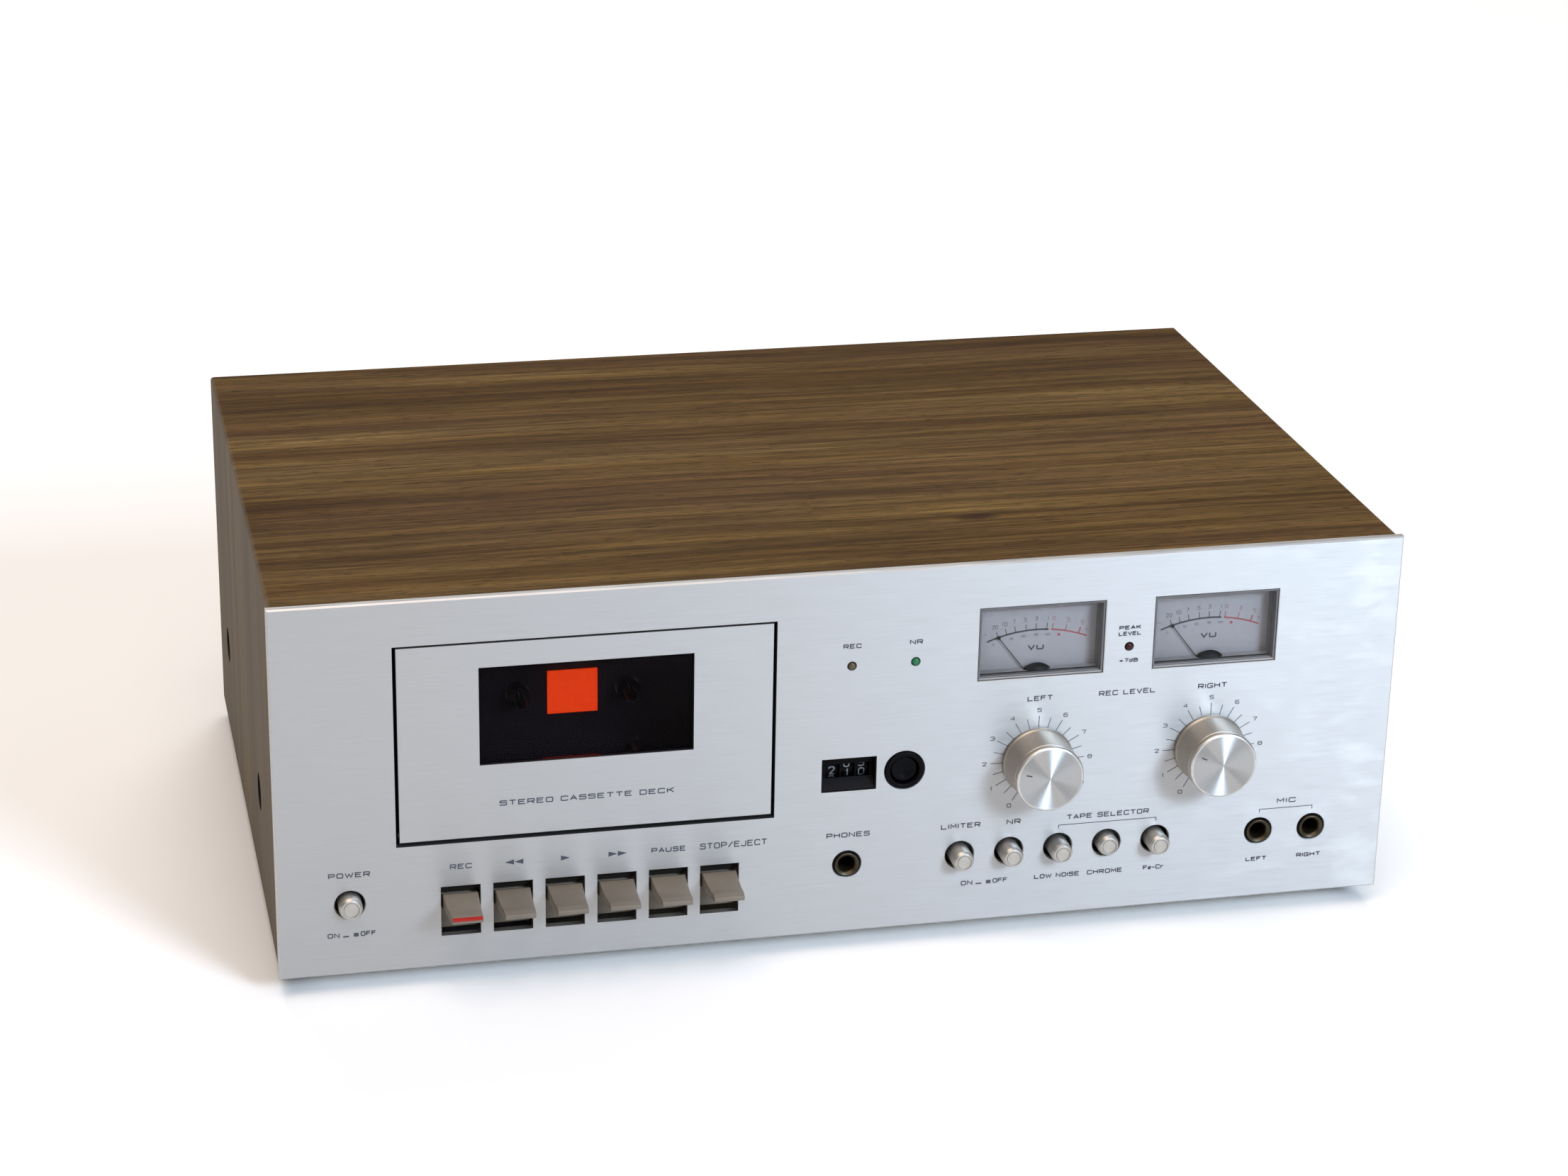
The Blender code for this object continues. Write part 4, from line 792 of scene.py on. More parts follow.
def panel_legends():
    """Everything printed on the front panel."""
    bm = bmesh.new()
    upper, tall = 40.6, 2.15
    power = middle("power_button").x
    phones = middle("phones_jack").x
    keys = [middle(f"{name}_key").x for name in KEYS]
    lamps = [middle(f"{name}_lamp").x for name in LAMPS]
    knobs = [middle(f"level_knob_{side}") for side in SIDES]
    buttons = [middle(f"{name}_button").x for name in BUTTONS]
    mics = [middle(f"mic_jack_{side}").x for side in SIDES]
    for text, x, width, low, cap in (
            ("POWER", power, 15.8, upper, tall),
            ("REC", keys[0] + 0.2, 8.4, upper, tall),
            ("PAUSE", keys[4], 13.4, upper, tall),
            ("STOP/EJECT", -45.0, 26.4, upper - 0.2, tall + 0.4),
            ("PHONES", phones + 0.25, 17.3, upper, tall),
            ("REC", lamps[0], 7.2, 119.6, 1.9),
            ("NR", lamps[1], 5.2, 119.6, 1.9),
            ("PEAK", lamps[2], 8.9, 119.5, 1.7),
            ("LEVEL", lamps[2], 9.2, 117.0, 1.7),
            ("+7dB", lamps[2], 7.8, 105.8, 1.7),
            ("LEFT", knobs[0].x, 10.2, 92.3, tall),
            ("REC LEVEL", lamps[2] + 0.3, 23.0, 92.3, tall),
            ("RIGHT", knobs[1].x, 12.0, 92.3, tall),
            ("LIMITER", buttons[0] + 0.1, 16.0, 40.5, tall),
            ("NR", buttons[1] + 1.5, 5.8, 40.5, tall),
            ("TAPE SELECTOR", (buttons[2] + buttons[4]) / 2, buttons[4] - buttons[2] - 6.2, 40.5, tall),
            ("LOW NOISE", buttons[2] + 0.2, 18.6, 15.7, 1.95),
            ("CHROME", buttons[3] - 0.1, 14.6, 15.7, 1.95),
            ("Fe-Cr", buttons[4] + 0.1, 8.6, 15.7, 1.95),
            ("MIC", sum(mics) / 2, 8.0, 40.2, 2.1),
            ("LEFT", mics[0], 8.8, 15.6, 1.8),
            ("RIGHT", mics[1], 10.2, 15.6, 1.8)):
        centred_word(bm, text, x, width, low, cap)
    for key, offset in ((1, -3.1), (1, 0.5), (2, 1.9), (3, 0.2), (3, 3.8)):
        arrow(bm, keys[key] + offset, upper + tall / 2, -3.5 if key == 1 else 3.5)
    on_off(bm, (power - 8.8, power + 9.6), 15.8)
    on_off(bm, (buttons[0] + 1.0, buttons[1]), 15.6)
    for knob in knobs:
        level_dial(bm, knob)
    bracket(bm, (buttons[2], buttons[4]), 38.4)
    bracket(bm, mics, 38.1)
    piece("panel_legends", bm, INK, sharp=20)


def door_legend():
    """The words on the door."""
    bm = made(word, "STEREO CASSETTE DECK", (-135.3, -68.4), (65.5, 67.7), DOOR[0].y - 0.01)
    piece("door_legend", bm, INK, "door", sharp=20)


# ---------------------------------------------------------------- panel and cabinet

def corners(x, depth, height, grow=0.0):
    """The four corners of a rectangle at a depth, grown by a margin."""
    left, right, low, high = x[0] - grow, x[1] + grow, height[0] - grow, height[1] + grow
    return [Vector(corner) for corner in ((left, depth, low), (right, depth, low), (right, depth, high),
                                          (left, depth, high))]


def flared_box(bm, x, height, flare):
    """A cutter for a square opening with its front edge broken."""
    levels = ((flare + 1.0, -1.0), (0.0, flare), (0.0, THICK + 2.0))
    loft(bm, [corners(x, depth, height, grow) for grow, depth in levels])


def flared_disc(bm, at, radius, flare=0.3):
    """A cutter for a round hole with its front edge broken."""
    back = -THICK - 2.0
    lathe(bm, [(0.0, 1.0), (radius + flare + 1.0, 1.0), (radius, -flare), (radius, back), (0.0, back)], at)


def edge_faces(bm, index, facing=0.99):
    """Give a second material to the faces that don't look straight forward or back."""
    for face in bm.faces:
        if abs(face.normal.y) < facing:
            face.material_index = index


def meter_window(side):
    """A meter's window in the panel, as values of x and of height."""
    x = about(middle(f"meter_case_{side}").x, METER_WINDOW[0] / 2)
    return x, (METER_WINDOW_LOW, METER_WINDOW_LOW + METER_WINDOW[1])


def front_panel():
    """Brushed panel with bright chamfers and a broken edge round every opening."""
    bm = made(box, (-WIDTH / 2, WIDTH / 2), (0.0, THICK), (0.0, HEIGHT))
    front = [edge for edge in bm.edges if all(vert.co.y < 0.01 for vert in edge.verts)]
    bmesh.ops.bevel(bm, geom=front, offset=0.6, segments=1, affect="EDGES")
    low, high = DOOR
    squares = [((low.x - DOOR_GAP, high.x + DOOR_GAP), (low.z - DOOR_GAP, high.z + DOOR_TOP_GAP), 0.08)]
    squares += [(*COUNTER_WINDOW, 0.1)] + [(*meter_window(side), 0.25) for side in SIDES]
    squares += [(about(middle(f"{name}_key").x, KEY_SLOT[0] / 2), KEY_SLOT[1:], 0.08) for name in KEYS]
    discs = [(f"{name}_button", BUTTON_HOLE) for name in ("power", *BUTTONS)]
    discs += [(name, JACK_HOLE) for name in JACKS] + [("counter_reset_button", RESET_HOLE)]
    discs += [(f"{name}_lamp", LAMP_HOLE, 0.1) for name in LAMPS]
    discs += [(f"level_knob_{side}", SHAFT_HOLE) for side in SIDES]
    cut = bmesh.new()
    for values in squares:
        flared_box(cut, *values)
    for node, *values in discs:
        flared_disc(cut, on_face(node), *values)
    bm = boolean(bm, cut)
    edge_faces(bm, 1)
    # Painted shade: the opening's walls and chamfers round the door are black, standing in for the shade in
    # the gap round the door.
    for face in bm.faces:
        centre = face.calc_center_median()
        beside_door = low.x - 2.0 < centre.x < high.x + 2.0 and low.z - 2.0 < centre.z < high.z + 2.0
        if face.material_index == 1 and beside_door:
            face.material_index = 2
    piece("panel_plate", bm, (ALUMINIUM, ALUMINIUM_EDGE, BLACK_PAINT),
          replaces=["front_panel"], sharp=20)


def cabinet():
    """Board cabinet wrapped in film, with raw ends at the back and sunk screws in its sides."""
    low, high = CABINET
    corner, steps = 1.4, 5
    left, right, top = low.x + BOARD, high.x - BOARD, high.z - BOARD
    outline = arc((low.x + corner, high.z - corner), corner, 180, 90, steps)
    outline += arc((high.x - corner, high.z - corner), corner, 90, 0, steps)
    outline += [(high.x, 0.0), (right, 0.0), (right, top), (left, top), (left, 0.0), (low.x, 0.0)]
    bm = made(extrude, outline, (low.y, high.y))
    profile = [(0.0, 2.0), (7.5, 2.0), (7.5, -SCREW_DEPTH), (2.6, -SCREW_DEPTH), (2.6, -14.0), (0.0, -14.0)]
    for place, facing in side_screws():
        bm = boolean(bm, made(lathe, profile, place, facing, 48))
    for face in bm.faces:
        centre = face.calc_center_median()
        inside = low.x + 0.2 < centre.x < high.x - 0.2 and centre.z < high.z - 1.6
        # Painted shade: the walls and floors of the screw holes are black, standing in for the shade inside
        # them.
        if inside and abs(abs(centre.x) - high.x) < SCREW_DEPTH + 0.5:
            face.material_index = 2
        elif abs(face.normal.y) > 0.9 or inside:
            face.material_index = 1
    piece("cabinet_boards", bm, (WALNUT, CHIPBOARD, BLACK_AND_SHADE),
          replaces=["wood_cabinet"], sharp=40)


def side_screws():
    """Places on the cabinet's outer faces, and the way that each faces."""
    return [((end.x, *place), side) for place in SIDE_SCREWS for end, side in zip(CABINET, SIDES)]


def screw_head(bm, at, facing, radius=3.6, rise=2.2):
    """A domed screw head with a cross recess."""
    profile = [(0.0, rise)]
    for turn in (20, 40, 60, 75, 90):
        turn = math.radians(turn)
        profile.append((radius * math.sin(turn), rise * (0.45 + 0.55 * math.cos(turn))))
    head = made(lathe, profile + [(radius, 0.0), (0.0, 0.0)], at, facing, 32)
    top = Matrix.Translation(Vector(at)) @ TURNS[facing] @ Matrix.Translation((0, 0, rise))
    cross = bmesh.new()
    for wide, high in ((1.1, 0.24), (0.24, 1.1)):
        arm = bmesh.new()
        scale = Matrix.Diagonal((radius * wide, radius * high, rise * 1.1, 1.0))
        bmesh.ops.create_cube(arm, size=1.0, matrix=top @ scale)
        merge(cross, arm)
    merge(bm, boolean(head, cross))


def cabinet_screws():
    """Four black screws with washers at the bottom of their holes."""
    bm = bmesh.new()
    for (x, depth, height), facing in side_screws():
        out = -1.0 if facing == "left" else 1.0
        floor = x - out * SCREW_DEPTH
        washer = [(2.4, 1.0), (6.6, 1.0), (7.0, 0.6), (7.0, 0.0), (2.4, 0.0)]
        lathe(bm, washer, (floor, depth, height), facing, 40)
        screw_head(bm, (floor + out, depth, height), facing)
    piece("cabinet_screws", bm, SCREW_BLACK)


def door():
    """Door plate with its window opening."""
    low, high = DOOR
    bm = made(box, (low.x, high.x), (low.y, high.y), (low.z, high.z))
    for sill, width in ((True, 0.6), (False, 0.15)):
        edges = []
        for edge in bm.edges:
            front = all(vert.co.y < low.y + 0.01 for vert in edge.verts)
            if front and sill == all(vert.co.z < low.z + 0.7 for vert in edge.verts):
                edges.append(edge)
        bmesh.ops.bevel(bm, geom=edges, offset=width, segments=1, affect="EDGES")
    bm = boolean(bm, made(flared_box, *window_opening(), 0.1))
    # Painted shade: all the door's edges and chamfers, round the window too, are black, standing in for the
    # shade in the gap round the door.
    edge_faces(bm, 1)
    piece("door_plate", bm, (ALUMINIUM, BLACK_PAINT), "door", ["cassette_door"], sharp=20)


def window_opening(gap=0.0):
    """The window's opening in the door, less a gap all round, as values of x and of height."""
    low, high = WINDOW
    across, up = WINDOW_LEDGE[0] + gap, WINDOW_LEDGE[1] + gap
    return (low.x + across, high.x - across), (low.z + up, high.z - up)


def door_window():
    """Smoked acrylic with a step that fits the door's opening."""
    low, high = WINDOW
    step = DOOR[1].y + 0.3
    x, height = window_opening(0.25)
    bm = made(box, (low.x, high.x), (step, high.y), (low.z, high.z))
    face = made(softened, 0.25, 2, box, x, (0.3, step + 0.8), height)
    piece("window_pane", boolean(bm, face, "UNION"), SMOKED, "door", ["door_window"])


# ---------------------------------------------------------------- keys, buttons, knobs and sockets

def key_outline(reach):
    """Side view of a key's finger tab, as (depth, height) points: it dips, then kicks up to a blunt lip."""
    lip = 2.4
    crest = reach - lip
    top = [(6.6, 27.2), (3.4, 28.9)]
    steps = 14
    for step in range(steps + 1):
        share = step / steps
        dip = 30.0 - 3.3 * share + 2.8 * share ** 2.2
        top.append((0.8 - share * (crest + 0.8), dip))
    return top + key_nose(reach) + [(-reach, 27.4), (-reach + 0.5, 26.9), (6.6, 22.8)]


def key_nose(reach):
    """The rounded upper corner of a key's lip, as (depth, height) points."""
    return arc((-reach + 0.5, 28.5), 0.5, 80, 180, 3)


def widen(bm, x, reach):
    """Widen a key's tab evenly from its lip to its skirt."""
    for vert in bm.verts:
        share = (vert.co.y + reach) / (KEY_BACK + reach)
        vert.co.x = x + (vert.co.x - x) * (1.0 + KEY_WIDENING * share)


def transport_keys():
    """Six piano keys: a dished tab, a skirt behind the slot, and an arm on the rod."""
    reach = -span("play_key")[0].y
    rod = middle("key_pivot_rod")
    for name in KEYS:
        x = middle(f"{name}_key").x
        bm = made(softened, 0.38, 3, extrude_across, key_outline(reach - 0.06), about(x, 5.8))
        widen(bm, x, reach)
        softened(bm, 0.3, 2, box, about(x, 7.0), (5.0, 7.4), (14.0, 28.4))
        softened(bm, 0.4, 2, box, about(x, 4.0), (7.2, rod.y - 4.4), (18.5, 26.5))
        lathe(bm, [(2.35, 4.2), (5.0, 4.2), (5.0, -4.2), (2.35, -4.2)], (x, rod.y, rod.z), "right", 40)
        piece(f"{name}_key_cap", bm, KEY_PLASTIC, f"{name}_key", [f"{name}_key"])
        if name == "record":
            outline = [(-18.3, 29.25)] + key_nose(reach)
            outline += [(-reach, 28.2), (-reach + 0.4, 28.2), (-18.3, 28.8)]
            piece("record_key_stripe", made(extrude_across, outline, about(x, 5.7)), RED_PAINT, "record_key")


def key_felt():
    """Black felt strip behind the slots, above the keys, that hides the inside; its black is also painted
    shade, standing in for the shade above the keys.
    """
    x = span("record_key")[0].x - 2.0, span("stop_eject_key")[1].x + 2.0
    piece("key_felt", made(softened, 0.2, 2, box, x, (THICK + 0.5, THICK + 1.9), (29.8, 38.0)), BLACK_AND_SHADE)


def push_button(name):
    """Turned button with a coned edge and a ring cut in its face."""
    low, high = span(f"{name}_button")
    at = on_face(f"{name}_button")
    radius, proud, stem = (high.x - low.x) / 2, -low.y, high.y
    groove = radius * 0.66
    profile = [(0.0, proud - 0.12), (groove - 0.35, proud - 0.12), (groove - 0.15, proud - 0.42),
               (groove + 0.15, proud - 0.42), (groove + 0.3, proud)]
    profile += arc((radius * 0.86 - 0.3, proud - 0.3), 0.3, 90, 50, 3)
    profile += arc((radius - 0.4, proud - 1.5), 0.4, 45, 0, 3)
    profile += [(radius, -11.0), (2.0, -11.0), (2.0, -stem), (0.0, -stem)]
    piece(f"{name}_button_cap", made(lathe, profile, at, "front", 56), BUTTON_METAL, f"{name}_button",
          [f"{name}_button"], at, 30)


def level_knob(side):
    """Spun knob in two steps, with a bright rounded rim, a groove and a pointer dash."""
    node = f"level_knob_{side}"
    low, high = span(node)
    at = on_face(node)
    radius, proud, back = (high.x - low.x) / 2, -low.y, -high.y
    barrel = radius - 0.65
    profile = [(3.4, back), (radius - 0.6, back)] + arc((radius - 1.1, back + 1.2), 1.1, -60, 50, 7)
    waist = proud - back - 2.9
    steps = ((0.0, waist), (0.1, 3.5), (0.25, 3.3), (0.8, 3.1), (0.8, 2.8), (0.2, 2.6), (0.0, 2.3))
    profile += [(barrel - sunk, proud - behind) for sunk, behind in steps]
    profile += arc((barrel - 1.25, proud - 1.3), 1.25, 0, 80, 8)
    profile += [(barrel * 0.5, proud - 0.1), (0.05, proud - 0.2), (0.05, 14.0), (3.4, 14.0)]
    bm = made(lathe, profile, at, "front", 96)
    for face in bm.faces:
        centre = face.calc_center_median()
        away = math.hypot(centre.x - at.x, centre.z - at.z)
        behind = proud + centre.y
        if 0.02 < behind < 1.3 and away > barrel - 1.3:
            face.material_index = 3
        elif behind > 0.35 or away > barrel - 0.5:
            face.material_index = 1
    mark = Matrix.Translation(at) @ Matrix.Rotation(math.radians(POINTER_LEAN[side]), 4, "Y")
    dash = [(-0.26, 7.7), (0.26, 7.7), (0.26, 10.1), (-0.26, 10.1)]
    merge(bm, made(extrude, dash, (-proud, -proud + 0.3), mark), 2)
    piece(f"{node}_spun", bm, (KNOB_FACE, KNOB_SIDE, INK, KNOB_RIM), node, [node], at, 30)


def jack(name):
    """Socket with a plated sleeve in a black surround and a nut behind the panel."""
    at = on_face(name)
    back = -span(name)[1].y
    profile = [(3.3, -0.5), (3.4, -0.25), (3.8, 0.15)] + arc((4.45, 0.2), 0.4, 90, 0, 4)
    profile += [(4.85, -8.0), (3.3, -8.0)]
    piece(f"{name}_sleeve", made(lathe, profile, at, "front", 56), BRASS, origin=at)
    nut = -THICK - 0.4
    profile = [(4.9, 0.1), (5.2, 0.1), (5.45, -0.2), (5.5, nut), (8.4, nut), (8.4, back), (3.2, back),
               (3.2, -8.1), (4.9, -8.1)]
    body = made(lathe, profile, at, "front", 48)
    lathe(body, [(0.0, back + 1.0), (3.2, back + 1.0), (3.2, back), (0.0, back)], at, "front", 32)
    piece(f"{name}_body", body, BLACK_PLASTIC, replaces=[name])


def lamp(name, material):
    """Domed lens in its collar."""
    node = f"{name}_lamp"
    proud = -span(node)[0].y
    at = on_face(node)
    radius, collar = 1.5, -THICK - 0.4
    turns = [math.radians(turn) for turn in (15, 30, 45, 60, 75)]
    profile = [(0.0, proud)] + [(radius * math.sin(turn), proud * math.cos(turn)) for turn in turns]
    profile += [(radius, 0.0), (radius, collar), (2.4, collar), (2.4, -9.0), (0.0, -9.0)]
    piece(f"{node}_lens", made(lathe, profile, at, "front", 32), material, replaces=[node], origin=at)


# ---------------------------------------------------------------- counter

def counter():
    """Black moulding with three wheel windows over a sloping ledge, and the reset button's cup."""
    low, high = span("counter_housing")
    x, height = COUNTER_WINDOW
    ledge, back, rim = 64.4, 4.6, 0.45
    bm = made(box, about(0.0, x[1] + 1.4), (THICK + 0.4, high.y), (height[0] - 2.6, height[1] + 3.0))
    face = made(box, (x[0] + 0.25, x[1] - 0.25), (0.5, THICK + 1.0), (height[0] + 0.25, height[1] - 0.25))
    bm = boolean(bm, face, "UNION")
    top, sill = height[1] - rim, height[0] + rim
    outline = [(-1.0, top), (back, top), (back, ledge), (0.6, sill), (-1.0, sill)]
    bm = boolean(bm, made(extrude_across, outline, (x[0] + rim, x[1] - rim)))
    for name in WHEELS:
        at = middle(f"counter_wheel_{name}")
        bm = boolean(bm, made(box, about(at.x, 2.75), (back - 0.1, at.y + 0.1), (ledge - 0.6, 69.9)))
        drum = [(0.0, 2.75), (6.8, 2.75), (6.8, -2.75), (0.0, -2.75)]
        bm = boolean(bm, made(lathe, drum, at, "right", 48))
    for face in bm.faces:
        if face.normal.z > 0.3 and face.normal.y < -0.3:
            face.material_index = 1
    merge(bm, made(box, (x[1] + 1.0, high.x), (THICK + 0.4, THICK + 1.8), (low.z, high.z)))
    piece("counter_moulding", bm, (BLACK_PLASTIC, GREY_PLASTIC),
          replaces=["counter_housing"])
    reset = on_face("counter_reset_button")
    outer, proud = RESET_HOLE - 0.2, -low.y
    profile = [(5.75, -18.0), (5.75, proud - 1.0)] + arc((6.35, proud - 0.6), 0.6, 180, 90, 4)
    profile += arc((outer - 0.5, proud - 0.5), 0.5, 90, 0, 4) + [(outer, -18.0)]
    piece("counter_reset_cup", made(lathe, profile, reset, "front", 72), BLACK_PLASTIC)
    radius, front = 5.3, -span("counter_reset_button")[0].y
    profile = [(0.0, front - 1.1)]
    profile += [(radius * part * 0.72, front - 1.1 + 0.9 * part ** 2) for part in (0.2, 0.4, 0.6, 0.8, 1.0)]
    profile += arc((radius - 0.7, front - 0.7), 0.7, 90, 0, 4) + [(radius, -14.0), (0.0, -14.0)]
    cap = made(lathe, profile, reset, "front", 56)
    node = "counter_reset_button"
    piece("counter_reset_cap", cap, BLACK_PLASTIC, node, [node])


def counter_wheel(name, turns):
    """Number wheel with ten figures wrapped round it, the first of them at an angle above straight ahead."""
    node = f"counter_wheel_{name}"
    at = middle(node)
    low, high = span(node)
    radius, half, bore = (high.z - low.z) / 2 - INK_THICK, (high.x - low.x) / 2, 1.3
    profile = [(bore, half), (radius - 0.2, half), (radius, half - 0.2), (radius, 0.2 - half),
               (radius - 0.2, -half), (bore, -half)]
    bm = made(lathe, profile, at, "right", 60)
    for digit in range(10):

        def wrapped(across, up, out, start=math.radians(turns - digit * 36.0)):
            turn, away = start + up / radius, radius + out
            return Vector((at.x + across, at.y - away * math.cos(turn), at.z + away * math.sin(turn)))

        x = (-0.7, 0.6) if digit == 1 else (-1.25, 1.25)
        paths = word_paths(str(digit), x, (-1.7, 1.7), 0.42)
        draw(bm, [(fine_path(*path, 0.7), path[1]) for path in paths], 0.42, wrapped, 1)
    piece(f"{node}_figures", bm, (BLACK_PLASTIC, DIGIT_INK), node, [node], sharp=25)


# ---------------------------------------------------------------- meters

def meter(side):
    """Meter card with its scale, liner, pivot cover, clear cover and needle."""
    x = middle(f"meter_case_{side}").x
    window = meter_window(side)
    low = window[1][0]
    card = made(box, about(x, 26.2), (7.5, 7.9), (93.0, 133.7))
    piece(f"meter_card_{side}", card, CARD)
    levels = ((-0.2, 0.55), (-0.15, 7.3), (-1.35, 7.3), (-1.35, 4.1), (-0.95, 4.0), (-0.95, 3.4),
              (-1.15, 3.3), (-1.15, 1.6), (-0.95, 1.4), (-0.95, 0.55), (-0.85, 0.45), (-0.3, 0.45))
    liner = made(loft, [corners(window[0], depth, window[1], grow) for grow, depth in levels], True)
    # The liner is coloured by place as painted light and shade: its floor light grey as if lit from above,
    # its walls and front rim darker as if shaded, and a black strip across the floor in front of the deep
    # part as a painted shadow.
    for face in liner.faces:
        centre = face.calc_center_median()
        floor = centre.z < low + 2.0
        if centre.y > 4.08:
            face.material_index = 1 if floor else 2
        elif centre.y > 3.35 and floor:
            face.material_index = 3
        elif floor and face.normal.y < -0.5:
            face.material_index = 1
    piece(f"meter_liner_{side}", liner, (SHADED_EDGE_GREY, LIT_LIP_GREY, SHADED_WALL_GREY, BLACK_AND_SHADE))
    sheet = [(start + 1.0, end - 1.0) for start, end in window]
    piece(f"meter_cover_{side}", made(softened, 0.2, 2, box, sheet[0], (0.9, 1.9), sheet[1]), CLEAR)
    profile = [(0.0, -3.0), (2.8, -3.1), (5.0, -3.5), (6.6, -4.2), (7.3, -5.0), (7.5, -5.8), (0.0, -5.8)]
    dome = made(lathe, profile, (x, 0.0, low - 3.7), "front", 56)
    dome = boolean(dome, made(box, about(x, 10.0), (0.0, 12.0), (low + 0.7, low + 20.0)), "INTERSECT")
    piece(f"meter_pivot_cover_{side}", dome, BLACK_PLASTIC)
    meter_scale(side, x)
    needle(side)


SCALE_RADIUS = 53.0
SCALE_TOP = 119.0
CARD_FACE = 7.49


def scale_point(x, turn, away):
    """A point on the meter's arc, at an angle from the middle in degrees and a distance outside the arc."""
    angle, radius = math.radians(turn), SCALE_RADIUS + away
    return x + radius * math.sin(angle), SCALE_TOP - SCALE_RADIUS + radius * math.cos(angle)


def meter_scale(side, x):
    """The printed scale: an arc in black and red, ticks, figures and the unit."""
    depth = CARD_FACE
    bm = bmesh.new()
    for start, end, thick, index in ((-22.0, 5.0, 0.68, 0), (6.2, 22.3, 0.60, 1)):
        turns = [start + (end - start) * step / 16 for step in range(17)]
        outline = [scale_point(x, turn, thick / 2) for turn in turns]
        outline += [scale_point(x, turn, -thick / 2) for turn in reversed(turns)]
        shape(bm, outline, depth, index)
    marks = ((-17.0, "20"), (-13.2, "10"), (-9.3, "7"), (-4.7, "5"), (-0.4, "3"), (4.2, "1"), (6.6, "0"),
             (12.4, "3"), (18.4, "5"))
    for turn, figure in marks:
        red = int(turn > 6)
        bar(bm, scale_point(x, turn, 0.0), scale_point(x, turn, 2.6), 0.5 if turn > 18 else 0.28, depth, red)
        at = scale_point(x, turn, 4.6)
        wide = 0.6 if figure == "1" else 1.2 if len(figure) == 1 else 2.5
        centred_word(bm, figure, at[0], wide, at[1] - 0.85, 1.7, depth, 2 + red, 0.26)
    for turn, figure in ((-19.8, "0"), (-11.6, "40"), (-6.0, "60"), (-0.2, "80"), (5.0, "100")):
        at = scale_point(x, turn, -2.1)
        centred_word(bm, figure, at[0], 0.75 * len(figure), at[1] - 0.5, 1.0, depth, 2, 0.16)
    signs = ((-21.6, 118.2, -20.0, 118.2, 2), (19.2, 117.8, 20.8, 117.8, 3), (20.0, 117.0, 20.0, 118.6, 3))
    for left, low, right, high, index in signs:
        bar(bm, (x + left, low), (x + right, high), 0.2, depth, index)
    shape(bm, arc(scale_point(x, 10.0, -1.9), 0.6, 0, 337.5, 15), depth, 1)
    centred_word(bm, "VU", x - 0.2, 6.5, 110.6, 2.2, depth, 0, 0.55)
    piece(f"meter_scale_{side}", bm, (SCALE_INK, SCALE_RED, FAINT_INK, FAINT_RED), sharp=20)


def needle(side):
    """Thin pointer that tapers to its tip, on its hub, with a round mark near its end."""
    node = f"meter_needle_{side}"
    low, high = span(node)
    hub = Vector((middle(f"meter_case_{side}").x, (low.y + high.y) / 2, low.z + 2.2))
    length = 26.0
    mark = Matrix.Translation(hub) @ Matrix.Rotation(math.radians(-37.5), 4, "Y")
    bm = made(lathe, [(0.0, 0.5), (2.0, 0.5), (2.2, 0.3), (2.2, -0.5), (0.0, -0.5)], hub, "front", 40)
    blade = [(-0.2, 0.0), (0.2, 0.0), (0.13, length), (-0.13, length)]
    merge(bm, made(extrude, blade, (-0.06, 0.06), mark))
    profile = [(0.0, 0.16), (0.7, 0.16), (0.7, -0.16), (0.0, -0.16)]
    blob = made(lathe, profile, (0.0, 0.0, length - 0.75), "front", 20)
    blob.transform(mark)
    merge(bm, blob)
    piece(f"{node}_pointer", bm, BLACK_AND_SHADE, node, [node])


# ---------------------------------------------------------------- back and underside

def cad_copy(node):
    """A CAD node's mesh in the deck's measures, with its flat faces whole again."""
    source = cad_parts[node]
    bm = bmesh.new()
    bm.from_mesh(source.data)
    bm.transform(TO_ROW.inverted() @ source.matrix_world)
    bmesh.ops.remove_doubles(bm, verts=bm.verts, dist=0.001)
    bmesh.ops.dissolve_limit(bm, angle_limit=math.radians(0.5), verts=bm.verts, edges=bm.edges)
    return bm


def rounded(node, material, width=0.3, body="deck"):
    """A CAD node's own shape with its edges rounded off."""
    bm = cad_copy(node)
    soften(bm, width)
    piece(f"{node}_finish", bm, material, body, [node], sort=False)


def back_word(bm, text, x, width, low, cap):
    """Print a word on the rear panel, centred on a value of x and read from behind."""
    depth = span("rear_panel")[1].y + 0.01
    paths = word_paths(text, about(0.0, width / 2), (low, low + cap), 0.5)
    draw(bm, paths, 0.5, lambda across, up, out: Vector((x - across, depth + out, up)))


